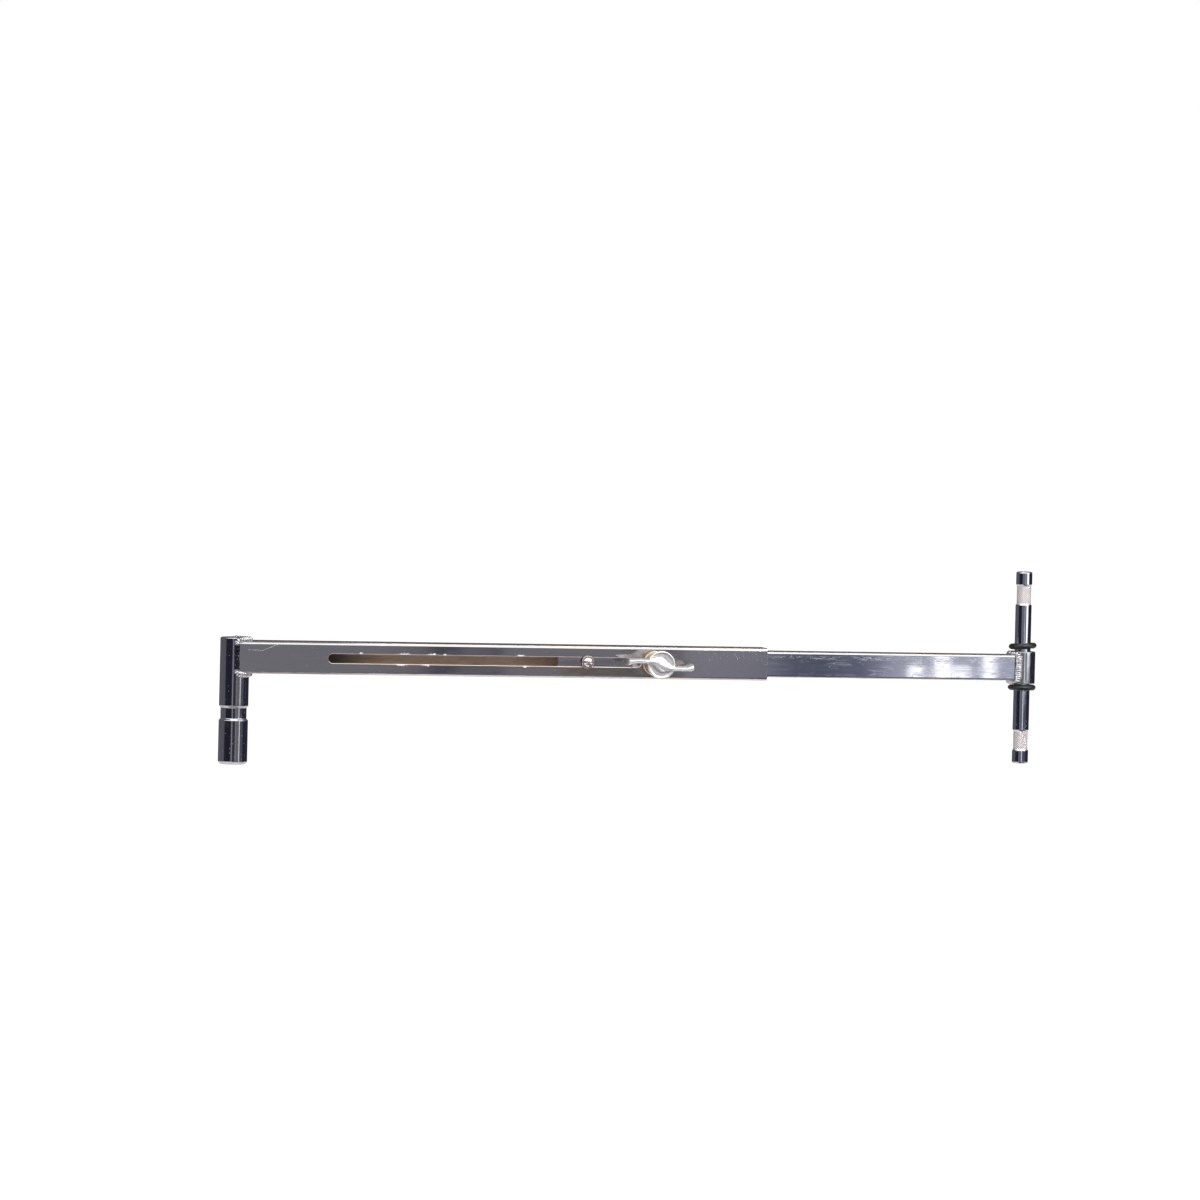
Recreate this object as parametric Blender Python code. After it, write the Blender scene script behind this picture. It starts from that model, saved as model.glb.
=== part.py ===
# Telescoping stand extension arm: a square tube arm on a solid junior pin, with an inner tube
# that slides out, a T-handle clamp, and a double-ended baby stud on its end.
#
# Frame: metres, +Z up. The origin is the centre of the junior pin's lower end face and the pin
# stands on Z. The arm runs along +X and the slot and the clamp are on its front, towards -Y.
# Sizes are in millimetres and turned into metres where the meshes are made.

from math import asin, cos, exp, pi, radians, sin, sqrt

import bmesh
import bpy
from mathutils import Matrix, Vector

MM = 0.001

# Clearances
SEAT_GAP = 0.3            # between pieces that touch on the real arm
WASHER_FLOAT = 0.5        # the limit washer rides this far off the outer tube
HUB_GAP = 2.2             # bare screw between the boss and the T-handle's hub

# Junior pin
PIN_DIA = 28.6
PIN_BELOW_ARM = 89.0
PIN_ABOVE_ARM = 3.0
PIN_TOP_CHAMFER = 0.8
PIN_END_CHAMFER = 2.5
PIN_GROOVE_WIDTH = 14.0
PIN_GROOVE_DEPTH = 1.6
PIN_GROOVE_CENTRE = 50.0  # up from the pin's lower end

# Outer tube
OUTER_SIZE = 31.75
OUTER_WALL = 2.77
OUTER_CORNER = 3.4
OUTER_START = 1.4         # side walls' coped edge, from the pin's axis
OUTER_END = 525.4
SLOT_START = 89.7
SLOT_WIDTH = 9.1
SLOT_CHAMFER = 0.8

# Clamp on the outer tube
CLAMP_X = 412.4
BOSS_DIA = 24.4
BOSS_HEIGHT = 7.8
BOSS_CHAMFER = 0.9
SPIGOT_DIA = 16.0
CLAMP_SCREW_DIA = 9.5
CLAMP_SCREW_CHAMFER = 0.8
CLAMP_SCREW_INTO_HUB = 21.0
PAD_DIA = 8.8
PAD_THICKNESS = 2.6
PAD_CHAMFER = 0.3
PAD_NIB_DIA = 2.6
PAD_NIB_LENGTH = 2.4
NIB_HOLE_CLEARANCE = 0.6  # past the nib's end

# T-handle casting
HUB_REAR_DIA = 19.6
HUB_FRONT_DIA = 23.0
HUB_LENGTH = 28.5         # rear face to the flange's front
FLANGE_NECK = 4.0         # hub's flare behind the flange
FLANGE_DIA = 27.6
FLANGE_THICKNESS = 3.6
FLANGE_RIM = 1.7
FLANGE_DISH = 0.6
CAST_EDGE = 0.9           # round on the casting's turned edges
BAR_SPAN = 65.4
BAR_FRONT = 3.6           # bar's front, past the flange's front
BAR_FRONT_FALL = 3.4      # how far the front edge falls back at the tips
BAR_REAR = 1.4            # bar's rear edge, past the hub's rear face
BAR_CROWN = 1.0
BAR_CROWN_WIDTH = 7.0
WING_THICKNESS = 4.9
WING_OFFSET = 3.6         # each wing's centre line, off the axis
WING_BEND = 14.0          # where the bar's bend is complete
BAR_HUB_THICKNESS = 15.6
BAR_HUB_WIDTH = 6.6
TIP_HOOK = 2.6
TIP_HOOK_LENGTH = 6.7
BAR_CORNER = 1.7
TIP_CORNER = 0.4          # what is left of it on the tips' end faces

# Inner tube and what is on it
TRAVEL_OUT = 47.7         # from the washer's edge to the boss, as photographed
TUBE_CLEARANCE = 0.405    # each side, between the inner tube and the outer tube's bore
INNER_WALL = 2.1
INNER_CORNER = 2.6
INNER_LENGTH = 466.4      # tail to the stud's axis
INNER_SIDE_TRIM = 10.3    # side walls' coped edge, from the stud's axis
LIMIT_FROM_TAIL = 28.8
BUSH_SLOT_CLEARANCE = 0.4
WASHER_DIA = 12.2
WASHER_THICKNESS = 1.2
WASHER_CHAMFER = 0.25
LIMIT_SCREW_DIA = 5.0
LIMIT_SCREW_CHAMFER = 0.6
LIMIT_HEAD_DIA = 8.6
LIMIT_HEAD_HEIGHT = 2.8
LIMIT_HEAD_EDGE = 1.1     # height of the head's straight side
RECESS_LENGTH = 4.6
RECESS_WIDTH = 1.0
RECESS_DEPTH = 1.5
NUT_ACROSS_FLATS = 8.0
NUT_THICKNESS = 4.0
SCREW_PAST_NUT = 1.0

# End sleeve, stud and rubber rings
SLEEVE_DIA = 25.4
SLEEVE_HEIGHT = 31.75
SLEEVE_CHAMFER = 0.7
STUD_DIA = 15.875
STUD_LENGTH = 188.4
STUD_CAP = 13.5
STUD_NECK = 18.5
STUD_NECK_DIA = 14.2
STUD_TIP_CHAMFER = 1.7
STUD_CAP_CHAMFER = 0.9
RING_SECTION = 5.6
UPPER_RING_LIFT = 5.3     # sleeve's end face to the ring's centre
LOWER_RING_LIFT = 3.7
UPPER_RING_TILT = 4.0     # degrees, right side high

# Weld beads, each a loop round the joint
PIN_BEAD_SIDE = 2.5
PIN_BEAD_TOP = 3.2
PIN_BEAD_ANGLE = 93.5     # degrees round the post to the side beads
SLEEVE_BEAD_SIDE = 3.9
SLEEVE_BEAD_TOP = 2.9
SLEEVE_BEAD_ANGLE = 60.5
BEAD_LIFT = 0.7           # top and bottom beads' centre line, off the tube's face
BEAD_CORNER = 3.0
BEAD_RIPPLE = 0.06
BEAD_RIPPLE_PITCH = 5.0
BEAD_POINT_SPACING = 1.25

# Facets
ROUND_STEPS = 48
SMALL_STEPS = 28
RING_STEPS = 40
RING_SECTION_STEPS = 10
CORNER_STEPS = 4
SLOT_END_STEPS = 12
DOME_STEPS = 5
EDGE_STEPS = 3
BAR_STATIONS = 34
SHARP_ANGLE = 35.0        # degrees
CUT_MARGIN = 2.0          # how far a cutter runs past what it cuts
MERGE_DISTANCE = 1e-4
DATUM_CROSS = 10.0        # how big a datum shows in the viewport

# Worked out from the sizes above
ARM_AXIS_Z = PIN_BELOW_ARM + OUTER_SIZE / 2
CLAMP_FACE = OUTER_SIZE / 2
INNER_SIZE = OUTER_SIZE - 2 * (OUTER_WALL + TUBE_CLEARANCE)
BOSS_TOP = SEAT_GAP + BOSS_HEIGHT
BORE_RADIUS = CLAMP_SCREW_DIA / 2 + SEAT_GAP
INNER_FACE_DEPTH = CLAMP_FACE - INNER_SIZE / 2     # inner tube's face, below the outer's
PAD_BOTTOM = SEAT_GAP - INNER_FACE_DEPTH
PAD_TOP = PAD_BOTTOM + PAD_THICKNESS
CLAMP_SCREW_END = PAD_TOP + SEAT_GAP
HUB_REAR = BOSS_TOP + HUB_GAP
FLANGE_FRONT = HUB_REAR + HUB_LENGTH
CLAMP_SCREW_TOP = HUB_REAR + CLAMP_SCREW_INTO_HUB
SLOT_END = CLAMP_X - BOSS_DIA / 2 - SLOT_CHAMFER / 2
STUD_BORE_RADIUS = STUD_DIA / 2 + SEAT_GAP
LIMIT_X = CLAMP_X - BOSS_DIA / 2 - WASHER_DIA / 2 - TRAVEL_OUT
STUD_X = LIMIT_X - LIMIT_FROM_TAIL + INNER_LENGTH


def clear_scene():
    for obj in list(bpy.data.objects):
        bpy.data.objects.remove(obj, do_unlink=True)


def material(name, colour, metallic, roughness):
    mat = bpy.data.materials.new(name)
    mat.use_nodes = True
    shader = mat.node_tree.nodes["Principled BSDF"]
    shader.inputs["Base Color"].default_value = (*colour, 1.0)
    shader.inputs["Metallic"].default_value = metallic
    shader.inputs["Roughness"].default_value = roughness
    return mat


def datum(name, location, rotation=(0.0, 0.0, 0.0)):
    """An empty that a group of pieces is built on."""
    empty = bpy.data.objects.new(name, None)
    empty.location = Vector(location) * MM
    empty.rotation_euler = rotation
    empty.empty_display_size = DATUM_CROSS * MM
    bpy.context.collection.objects.link(empty)
    return empty


def mesh_object(name, bm, parent, mat=None, sharp_angle=SHARP_ANGLE):
    """Turns a bmesh in millimetres into an object on its parent."""
    bmesh.ops.scale(bm, vec=(MM, MM, MM), verts=bm.verts)
    bmesh.ops.recalc_face_normals(bm, faces=bm.faces)
    mesh = bpy.data.meshes.new(name)
    bm.to_mesh(mesh)
    bm.free()
    mesh.shade_smooth()
    mesh.set_sharp_from_angle(angle=radians(sharp_angle))
    obj = bpy.data.objects.new(name, mesh)
    obj.parent = parent
    bpy.context.collection.objects.link(obj)
    if mat:
        mesh.materials.append(mat)
    return obj


def boolean(target, tool, operation="DIFFERENCE"):
    """Cuts or joins with a tool that stays in the scene as a hidden wire."""
    tool.hide_render = True
    tool.display_type = "WIRE"
    mod = target.modifiers.new(tool.name, "BOOLEAN")
    mod.operation = operation
    mod.solver = "EXACT"
    mod.object = tool


def revolve(profile, steps, closed=False):
    """Spins (radius, height) points about Z. A closed profile makes a ring round its bore."""
    bm = bmesh.new()
    verts = [bm.verts.new((radius, 0.0, height)) for radius, height in profile]
    pairs = list(zip(verts, verts[1:]))
    if closed:
        pairs.append((verts[-1], verts[0]))
    edges = [bm.edges.new(pair) for pair in pairs]
    bmesh.ops.spin(bm, geom=verts + edges, cent=(0, 0, 0), axis=(0, 0, 1), angle=2 * pi,
                   steps=steps, use_merge=True)
    bmesh.ops.remove_doubles(bm, verts=bm.verts, dist=MERGE_DISTANCE)
    return bm


def arc(centre, radius, start, end, steps):
    """Points of an arc, with both ends."""
    turns = [start + (end - start) * i / steps for i in range(steps + 1)]
    return [(centre[0] + radius * cos(a), centre[1] + radius * sin(a)) for a in turns]


def rounded_rectangle(width, height, corner, steps):
    """Outline of a rectangle with round corners, about the origin."""
    x, y = width / 2 - corner, height / 2 - corner
    centres = [(x, y), (-x, y), (-x, -y), (x, -y)]
    return [p for k, c in enumerate(centres)
            for p in arc(c, corner, k * pi / 2, (k + 1) * pi / 2, steps)]


def loft(loops):
    """Joins closed loops of equal length with quads and caps both ends."""
    bm = bmesh.new()
    rings = [[bm.verts.new(point) for point in loop] for loop in loops]
    for low, high in zip(rings, rings[1:]):
        for i in range(len(low)):
            j = (i + 1) % len(low)
            bm.faces.new((low[i], low[j], high[j], high[i]))
    bm.faces.new(rings[0])
    bm.faces.new(rings[-1])
    return bm


def cylinder(radius, low, high, steps=ROUND_STEPS):
    return revolve([(0, low), (radius, low), (radius, high), (0, high)], steps)


def square_tube(size, wall, corner, start, end):
    """A square tube along X with round corners inside and out."""
    bm = bmesh.new()
    edges = []
    for outline in (rounded_rectangle(size, size, corner, CORNER_STEPS),
                    rounded_rectangle(size - 2 * wall, size - 2 * wall, corner - wall,
                                      CORNER_STEPS)):
        verts = [bm.verts.new((start, y, z)) for y, z in outline]
        edges += [bm.edges.new(pair) for pair in zip(verts, verts[1:] + verts[:1])]
    ring = bmesh.ops.bridge_loops(bm, edges=edges)["faces"]
    grown = bmesh.ops.extrude_face_region(bm, geom=ring, use_keep_orig=True)["geom"]
    moved = [v for v in grown if isinstance(v, bmesh.types.BMVert)]
    bmesh.ops.translate(bm, vec=(end - start, 0, 0), verts=moved)
    return bm


def stadium(start, end, width, grow, y):
    """Outline of a slot with round ends, in the plane at y."""
    radius = width / 2 + grow
    left = arc((start + width / 2, 0), radius, pi / 2, 3 * pi / 2, SLOT_END_STEPS)
    right = arc((end - width / 2, 0), radius, -pi / 2, pi / 2, SLOT_END_STEPS)
    return [(x, y, z) for x, z in left + right]


def junior_pin(root, mat):
    """Solid pin with a locking groove, from its lower end to just above the arm."""
    radius = PIN_DIA / 2
    top = PIN_BELOW_ARM + OUTER_SIZE + PIN_ABOVE_ARM
    low = PIN_GROOVE_CENTRE - PIN_GROOVE_WIDTH / 2
    high = PIN_GROOVE_CENTRE + PIN_GROOVE_WIDTH / 2
    profile = [(0, 0), (radius - PIN_END_CHAMFER, 0), (radius, PIN_END_CHAMFER),
               (radius, low), (radius - PIN_GROOVE_DEPTH, low + PIN_GROOVE_DEPTH),
               (radius - PIN_GROOVE_DEPTH, high - PIN_GROOVE_DEPTH), (radius, high),
               (radius, top - PIN_TOP_CHAMFER), (radius - PIN_TOP_CHAMFER, top), (0, top)]
    bm = revolve(profile, ROUND_STEPS)
    bmesh.ops.translate(bm, vec=(0, 0, -ARM_AXIS_Z), verts=bm.verts)
    return mesh_object("junior_pin", bm, root, mat)


def outer_tube(root, mat):
    """Slotted square tube, coped to the pin and holed for the clamp boss."""
    bm = square_tube(OUTER_SIZE, OUTER_WALL, OUTER_CORNER, OUTER_START, OUTER_END)
    tube = mesh_object("outer_tube", bm, root, mat)
    reach = OUTER_SIZE / 2 + CUT_MARGIN
    cope = mesh_object("pin_cope_cut", cylinder(PIN_DIA / 2 + SEAT_GAP, -reach, reach), root)
    boolean(tube, cope)

    face = -OUTER_SIZE / 2
    slot = mesh_object("slot_cut", loft([
        stadium(SLOT_START, SLOT_END, SLOT_WIDTH, 0, face + OUTER_WALL + CUT_MARGIN),
        stadium(SLOT_START, SLOT_END, SLOT_WIDTH, 0, face + SLOT_CHAMFER),
        stadium(SLOT_START, SLOT_END, SLOT_WIDTH, SLOT_CHAMFER + CUT_MARGIN,
                face - CUT_MARGIN)]), root)
    boolean(tube, slot)

    bm = cylinder(SPIGOT_DIA / 2 + SEAT_GAP, -OUTER_WALL - CUT_MARGIN, CUT_MARGIN)
    bmesh.ops.rotate(bm, cent=(0, 0, 0), matrix=Matrix.Rotation(pi / 2, 3, "X"), verts=bm.verts)
    bmesh.ops.translate(bm, vec=(CLAMP_X, face, 0), verts=bm.verts)
    boolean(tube, mesh_object("spigot_cut", bm, root))
    return tube


def bead_path(post_radius, angle, half_height):
    """A round-cornered loop wrapped on the post: up one side of the joint, over the tube's
    top, down the other side and back under it. Gives (point, share of side bead) pairs."""
    half_width = post_radius * radians(angle)
    span = [(half_width, half_height - BEAD_CORNER), (half_width - BEAD_CORNER, half_height)]
    corner_length = BEAD_CORNER * pi / 2
    straight_up = 2 * span[0][1]
    straight_across = 2 * span[1][0]
    total = 2 * (straight_up + straight_across) + 4 * corner_length
    count = round(total / BEAD_POINT_SPACING)
    points = []
    for k in range(count):
        s = total * k / count
        unrolled = None
        for turn in range(4):
            upright = turn % 2 == 0
            straight = straight_up if upright else straight_across
            side = half_width if upright else half_height
            if s <= straight:
                unrolled = Vector((side, s - straight / 2))
                share = 1.0 if upright else 0.0
                break
            s -= straight
            if s <= corner_length:
                a = s / BEAD_CORNER
                unrolled = Vector((side - BEAD_CORNER + BEAD_CORNER * cos(a),
                                   straight / 2 + BEAD_CORNER * sin(a)))
                share = cos(a) ** 2 if upright else sin(a) ** 2
                break
            s -= corner_length
        unrolled.rotate(Matrix.Rotation(turn * pi / 2, 2))
        wrapped = unrolled.x / post_radius
        points.append((Vector((post_radius * cos(wrapped), post_radius * sin(wrapped),
                               unrolled.y)), share))
    return points


def weld_bead(name, parent, mat, post_dia, tube_size, tube_corner, tube_end, angle,
              side_radius, top_radius):
    """A rippled bead round the joint of a square tube and a round post, trimmed to both.
    The tube's side walls end at tube_end, on the side of the post that the tube comes from."""
    post_radius = post_dia / 2
    way = 1 if tube_end > 0 else -1
    path = bead_path(post_radius, angle, tube_size / 2 + BEAD_LIFT)
    curve = bpy.data.curves.new(name + "_path", "CURVE")
    curve.dimensions = "3D"
    curve.bevel_depth = MM
    curve.bevel_resolution = 2
    spline = curve.splines.new("POLY")
    spline.points.add(len(path) - 1)
    spline.use_cyclic_u = True
    for k, (point, share) in enumerate(path):
        place = Vector((point.x * way, point.y, point.z)) * MM
        spline.points[k].co = (*place, 1.0)
        ripple = 1 + BEAD_RIPPLE * sin(2 * pi * k * BEAD_POINT_SPACING / BEAD_RIPPLE_PITCH)
        spline.points[k].radius = ripple * (share * side_radius + (1 - share) * top_radius)
    guide = bpy.data.objects.new(name + "_path", curve)
    bpy.context.collection.objects.link(guide)
    bpy.context.view_layer.update()
    mesh = bpy.data.meshes.new_from_object(guide.evaluated_get(
        bpy.context.evaluated_depsgraph_get()))
    bpy.data.objects.remove(guide, do_unlink=True)

    bm = bmesh.new()
    bm.from_mesh(mesh)
    bpy.data.meshes.remove(mesh)
    bmesh.ops.scale(bm, vec=(1 / MM, 1 / MM, 1 / MM), verts=bm.verts)
    bmesh.ops.remove_doubles(bm, verts=bm.verts, dist=MERGE_DISTANCE)
    bead = mesh_object(name, bm, parent, mat)

    reach = tube_size / 2 + CUT_MARGIN + 2 * top_radius
    post = cylinder(post_radius + SEAT_GAP, -reach, reach)
    boolean(bead, mesh_object(name + "_post_cut", post, parent))
    outline = rounded_rectangle(tube_size + 2 * SEAT_GAP, tube_size + 2 * SEAT_GAP,
                                tube_corner + SEAT_GAP, CORNER_STEPS)
    ends = (tube_end - way * SEAT_GAP, way * (post_radius + reach))
    boolean(bead, mesh_object(name + "_tube_cut",
                              loft([[(x, y, z) for y, z in outline] for x in ends]), parent))
    return bead


def clamp_boss(clamp, mat):
    """Round threaded boss on the tube's face, with a spigot through the wall."""
    outer = BOSS_DIA / 2
    spigot = SPIGOT_DIA / 2
    profile = [(BORE_RADIUS, -OUTER_WALL), (spigot, -OUTER_WALL), (spigot, SEAT_GAP),
               (outer, SEAT_GAP), (outer, BOSS_TOP - BOSS_CHAMFER),
               (outer - BOSS_CHAMFER, BOSS_TOP), (BORE_RADIUS, BOSS_TOP)]
    return mesh_object("clamp_boss", revolve(profile, ROUND_STEPS, closed=True), clamp, mat)


def clamp_pad(clamp, mat):
    """Brass pad that bears on the inner tube, with a nib in the screw's end."""
    radius = PAD_DIA / 2
    nib = PAD_NIB_DIA / 2
    profile = [(0, PAD_BOTTOM), (radius - PAD_CHAMFER, PAD_BOTTOM),
               (radius, PAD_BOTTOM + PAD_CHAMFER), (radius, PAD_TOP), (nib, PAD_TOP),
               (nib, PAD_TOP + PAD_NIB_LENGTH), (0, PAD_TOP + PAD_NIB_LENGTH)]
    return mesh_object("clamp_pad", revolve(profile, SMALL_STEPS), clamp, mat)


def clamp_screw(clamp, mat):
    """Steel stud that is fixed in the T-handle and runs in the boss."""
    radius = CLAMP_SCREW_DIA / 2
    hole = PAD_NIB_DIA / 2 + SEAT_GAP
    hole_top = PAD_TOP + PAD_NIB_LENGTH + NIB_HOLE_CLEARANCE
    profile = [(0, hole_top), (hole, hole_top), (hole, CLAMP_SCREW_END),
               (radius - CLAMP_SCREW_CHAMFER, CLAMP_SCREW_END),
               (radius, CLAMP_SCREW_END + CLAMP_SCREW_CHAMFER),
               (radius, CLAMP_SCREW_TOP), (0, CLAMP_SCREW_TOP)]
    return mesh_object("clamp_screw", revolve(profile, SMALL_STEPS), clamp, mat)


def ease(t):
    """0 to 1 with a level start and end."""
    t = min(1.0, max(0.0, t))
    return t * t * (3 - 2 * t)


def bar_section(x):
    """Cross-section of the cast bar at x: middle and half thickness, rear and front."""
    side = -1 if x > 0 else 1
    bend = min(1.0, abs(x) / WING_BEND)
    middle = side * WING_OFFSET * sin(bend * pi / 2)
    half = WING_THICKNESS / 2
    half += (BAR_HUB_THICKNESS / 2 - half) * exp(-(x / BAR_HUB_WIDTH) ** 2)
    hook = TIP_HOOK * ease((abs(x) - BAR_SPAN / 2 + TIP_HOOK_LENGTH) / TIP_HOOK_LENGTH)
    middle -= side * hook / 2
    half += hook / 2
    front = FLANGE_FRONT + BAR_FRONT - BAR_FRONT_FALL * (2 * x / BAR_SPAN) ** 2
    front += BAR_CROWN * exp(-(x / BAR_CROWN_WIDTH) ** 2)
    return middle, half, HUB_REAR + BAR_REAR, front


def cast_bar():
    """The S-shaped bar as a loft along X, with round edges and rounded tips."""
    loops = []
    for k in range(BAR_STATIONS + 1):
        x = -BAR_SPAN / 2 * cos(pi * k / BAR_STATIONS)
        middle, half, rear, front = bar_section(x)
        into_tip = max(0.0, 1 - (BAR_SPAN / 2 - abs(x)) / BAR_CORNER)
        inset = BAR_CORNER * (1 - sqrt(max(0.0, 1 - into_tip ** 2)))
        inset = min(inset, BAR_CORNER - TIP_CORNER)
        outline = rounded_rectangle(2 * (half - inset), front - rear - 2 * inset,
                                    BAR_CORNER - inset, EDGE_STEPS)
        loops.append([(x, middle + y, (front + rear) / 2 + z) for y, z in outline])
    return loft(loops)


def t_handle(clamp, mat):
    """Cast hub with a dished flange, joined to the S-shaped bar and bored for its screw."""
    rear = HUB_REAR_DIA / 2
    front = HUB_FRONT_DIA / 2
    flange = FLANGE_DIA / 2
    flange_rear = FLANGE_FRONT - FLANGE_THICKNESS
    rim = flange - CAST_EDGE
    dish = FLANGE_FRONT - FLANGE_DISH
    profile = [(0, HUB_REAR), (rear - CAST_EDGE, HUB_REAR), (rear, HUB_REAR + CAST_EDGE),
               (front, flange_rear - FLANGE_NECK)]
    profile += arc((rim, flange_rear + CAST_EDGE), CAST_EDGE, -pi / 2, 0, EDGE_STEPS)
    profile += arc((rim, FLANGE_FRONT - CAST_EDGE), CAST_EDGE, 0, pi / 2, EDGE_STEPS)
    profile += [(flange - FLANGE_RIM, FLANGE_FRONT), (flange - FLANGE_RIM - FLANGE_DISH, dish),
                (0, dish)]
    handle = mesh_object("t_handle", revolve(profile, ROUND_STEPS), clamp, mat)
    boolean(handle, mesh_object("t_handle_bar", cast_bar(), clamp), "UNION")
    bore = cylinder(BORE_RADIUS, HUB_REAR - CUT_MARGIN, CLAMP_SCREW_TOP + SEAT_GAP, SMALL_STEPS)
    boolean(handle, mesh_object("t_handle_bore_cut", bore, clamp))
    return handle


def inner_tube(carriage, limit, mat):
    """Sliding square tube, coped to the end sleeve and drilled for the limit screw."""
    tube = mesh_object("inner_tube", square_tube(INNER_SIZE, INNER_WALL, INNER_CORNER,
                                                 -INNER_LENGTH, -INNER_SIDE_TRIM), carriage, mat)
    reach = INNER_SIZE / 2 + CUT_MARGIN
    cope = cylinder(SLEEVE_DIA / 2 + SEAT_GAP, -reach, reach)
    boolean(tube, mesh_object("sleeve_cope_cut", cope, carriage))
    hole = cylinder(LIMIT_SCREW_DIA / 2 + SEAT_GAP, -INNER_WALL - CUT_MARGIN, CUT_MARGIN,
                    SMALL_STEPS)
    boolean(tube, mesh_object("limit_hole_cut", hole, limit))
    return tube


def limit_hardware(limit, chrome, steel):
    """Screw, washer, guide bush and nut that stop the inner tube at the slot's ends.
    Heights are above the inner tube's face."""
    washer_low = INNER_FACE_DEPTH + WASHER_FLOAT
    washer_top = washer_low + WASHER_THICKNESS
    head_low = washer_top + SEAT_GAP
    head_top = head_low + LIMIT_HEAD_HEIGHT
    hole = LIMIT_SCREW_DIA / 2 + SEAT_GAP
    bush = SLOT_WIDTH / 2 - BUSH_SLOT_CLEARANCE
    nut_top = -INNER_WALL - SEAT_GAP
    screw_end = nut_top - NUT_THICKNESS - SCREW_PAST_NUT

    bush_profile = [(hole, SEAT_GAP), (bush, SEAT_GAP), (bush, washer_low - SEAT_GAP),
                    (hole, washer_low - SEAT_GAP)]
    mesh_object("limit_bush", revolve(bush_profile, SMALL_STEPS, closed=True), limit, steel)

    washer = WASHER_DIA / 2
    washer_profile = [(hole, washer_low), (washer, washer_low),
                      (washer, washer_top - WASHER_CHAMFER),
                      (washer - WASHER_CHAMFER, washer_top), (hole, washer_top)]
    mesh_object("limit_washer", revolve(washer_profile, SMALL_STEPS, closed=True), limit, chrome)

    head = LIMIT_HEAD_DIA / 2
    shank = LIMIT_SCREW_DIA / 2
    rise = LIMIT_HEAD_HEIGHT - LIMIT_HEAD_EDGE
    dome = (head ** 2 + rise ** 2) / (2 * rise)
    dome_angle = asin(head / dome)
    profile = [(0, screw_end), (shank - LIMIT_SCREW_CHAMFER, screw_end),
               (shank, screw_end + LIMIT_SCREW_CHAMFER), (shank, head_low), (head, head_low)]
    profile += arc((0, head_top - dome), dome, pi / 2 - dome_angle, pi / 2, DOME_STEPS)
    screw = mesh_object("limit_screw", revolve(profile, SMALL_STEPS), limit, chrome)
    for k in range(2):
        bm = bmesh.new()
        bmesh.ops.create_cube(bm, size=1)
        bmesh.ops.scale(bm, vec=(RECESS_LENGTH, RECESS_WIDTH, 2 * RECESS_DEPTH), verts=bm.verts)
        bmesh.ops.rotate(bm, cent=(0, 0, 0), matrix=Matrix.Rotation(pi / 4 + k * pi / 2, 3, "Z"),
                         verts=bm.verts)
        bmesh.ops.translate(bm, vec=(0, 0, head_top), verts=bm.verts)
        boolean(screw, mesh_object(f"limit_recess_cut_{k + 1}", bm, limit))

    corner = NUT_ACROSS_FLATS / 2 / cos(pi / 6)
    nut = mesh_object("limit_nut", revolve([(0, nut_top - NUT_THICKNESS),
                                            (corner, nut_top - NUT_THICKNESS),
                                            (corner, nut_top), (0, nut_top)], 6), limit, steel,
                      sharp_angle=20)
    boolean(nut, mesh_object("limit_nut_bore_cut", cylinder(
        hole, nut_top - NUT_THICKNESS - CUT_MARGIN, nut_top + CUT_MARGIN, SMALL_STEPS), limit))


def end_sleeve(carriage, mat):
    """Round sleeve that the stud passes through."""
    outer = SLEEVE_DIA / 2
    half = SLEEVE_HEIGHT / 2
    c = SLEEVE_CHAMFER
    profile = [(STUD_BORE_RADIUS, -half), (outer - c, -half), (outer, -half + c),
               (outer, half - c), (outer - c, half), (STUD_BORE_RADIUS, half)]
    return mesh_object("end_sleeve", revolve(profile, ROUND_STEPS, closed=True), carriage, mat)


def baby_stud(carriage, mat):
    """Double-ended stud: a plain shank, then a reduced neck and a chamfered cap at each end."""
    radius = STUD_DIA / 2
    neck = STUD_NECK_DIA / 2
    step = radius - neck
    half = STUD_LENGTH / 2
    cap_low = half - STUD_CAP
    neck_low = cap_low - STUD_NECK
    upper = [(radius, neck_low - step), (neck, neck_low), (neck, cap_low),
             (radius, cap_low + STUD_CAP_CHAMFER), (radius, half - STUD_TIP_CHAMFER),
             (radius - STUD_TIP_CHAMFER, half), (0, half)]
    lower = [(r, -z) for r, z in reversed(upper)]
    return mesh_object("baby_stud", revolve(lower + upper, ROUND_STEPS), carriage, mat)


def rubber_ring(name, carriage, mat, height, tilt):
    """O-ring that grips the stud beside the sleeve."""
    section = RING_SECTION / 2
    centre = (STUD_BORE_RADIUS + section, 0)
    profile = arc(centre, section, 0, 2 * pi, RING_SECTION_STEPS)[:-1]
    bm = revolve(profile, RING_STEPS, closed=True)
    bmesh.ops.rotate(bm, cent=(0, 0, 0), matrix=Matrix.Rotation(-radians(tilt), 3, "Y"),
                     verts=bm.verts)
    bmesh.ops.translate(bm, vec=(0, 0, height), verts=bm.verts)
    return mesh_object(name, bm, carriage, mat, sharp_angle=60)


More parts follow.
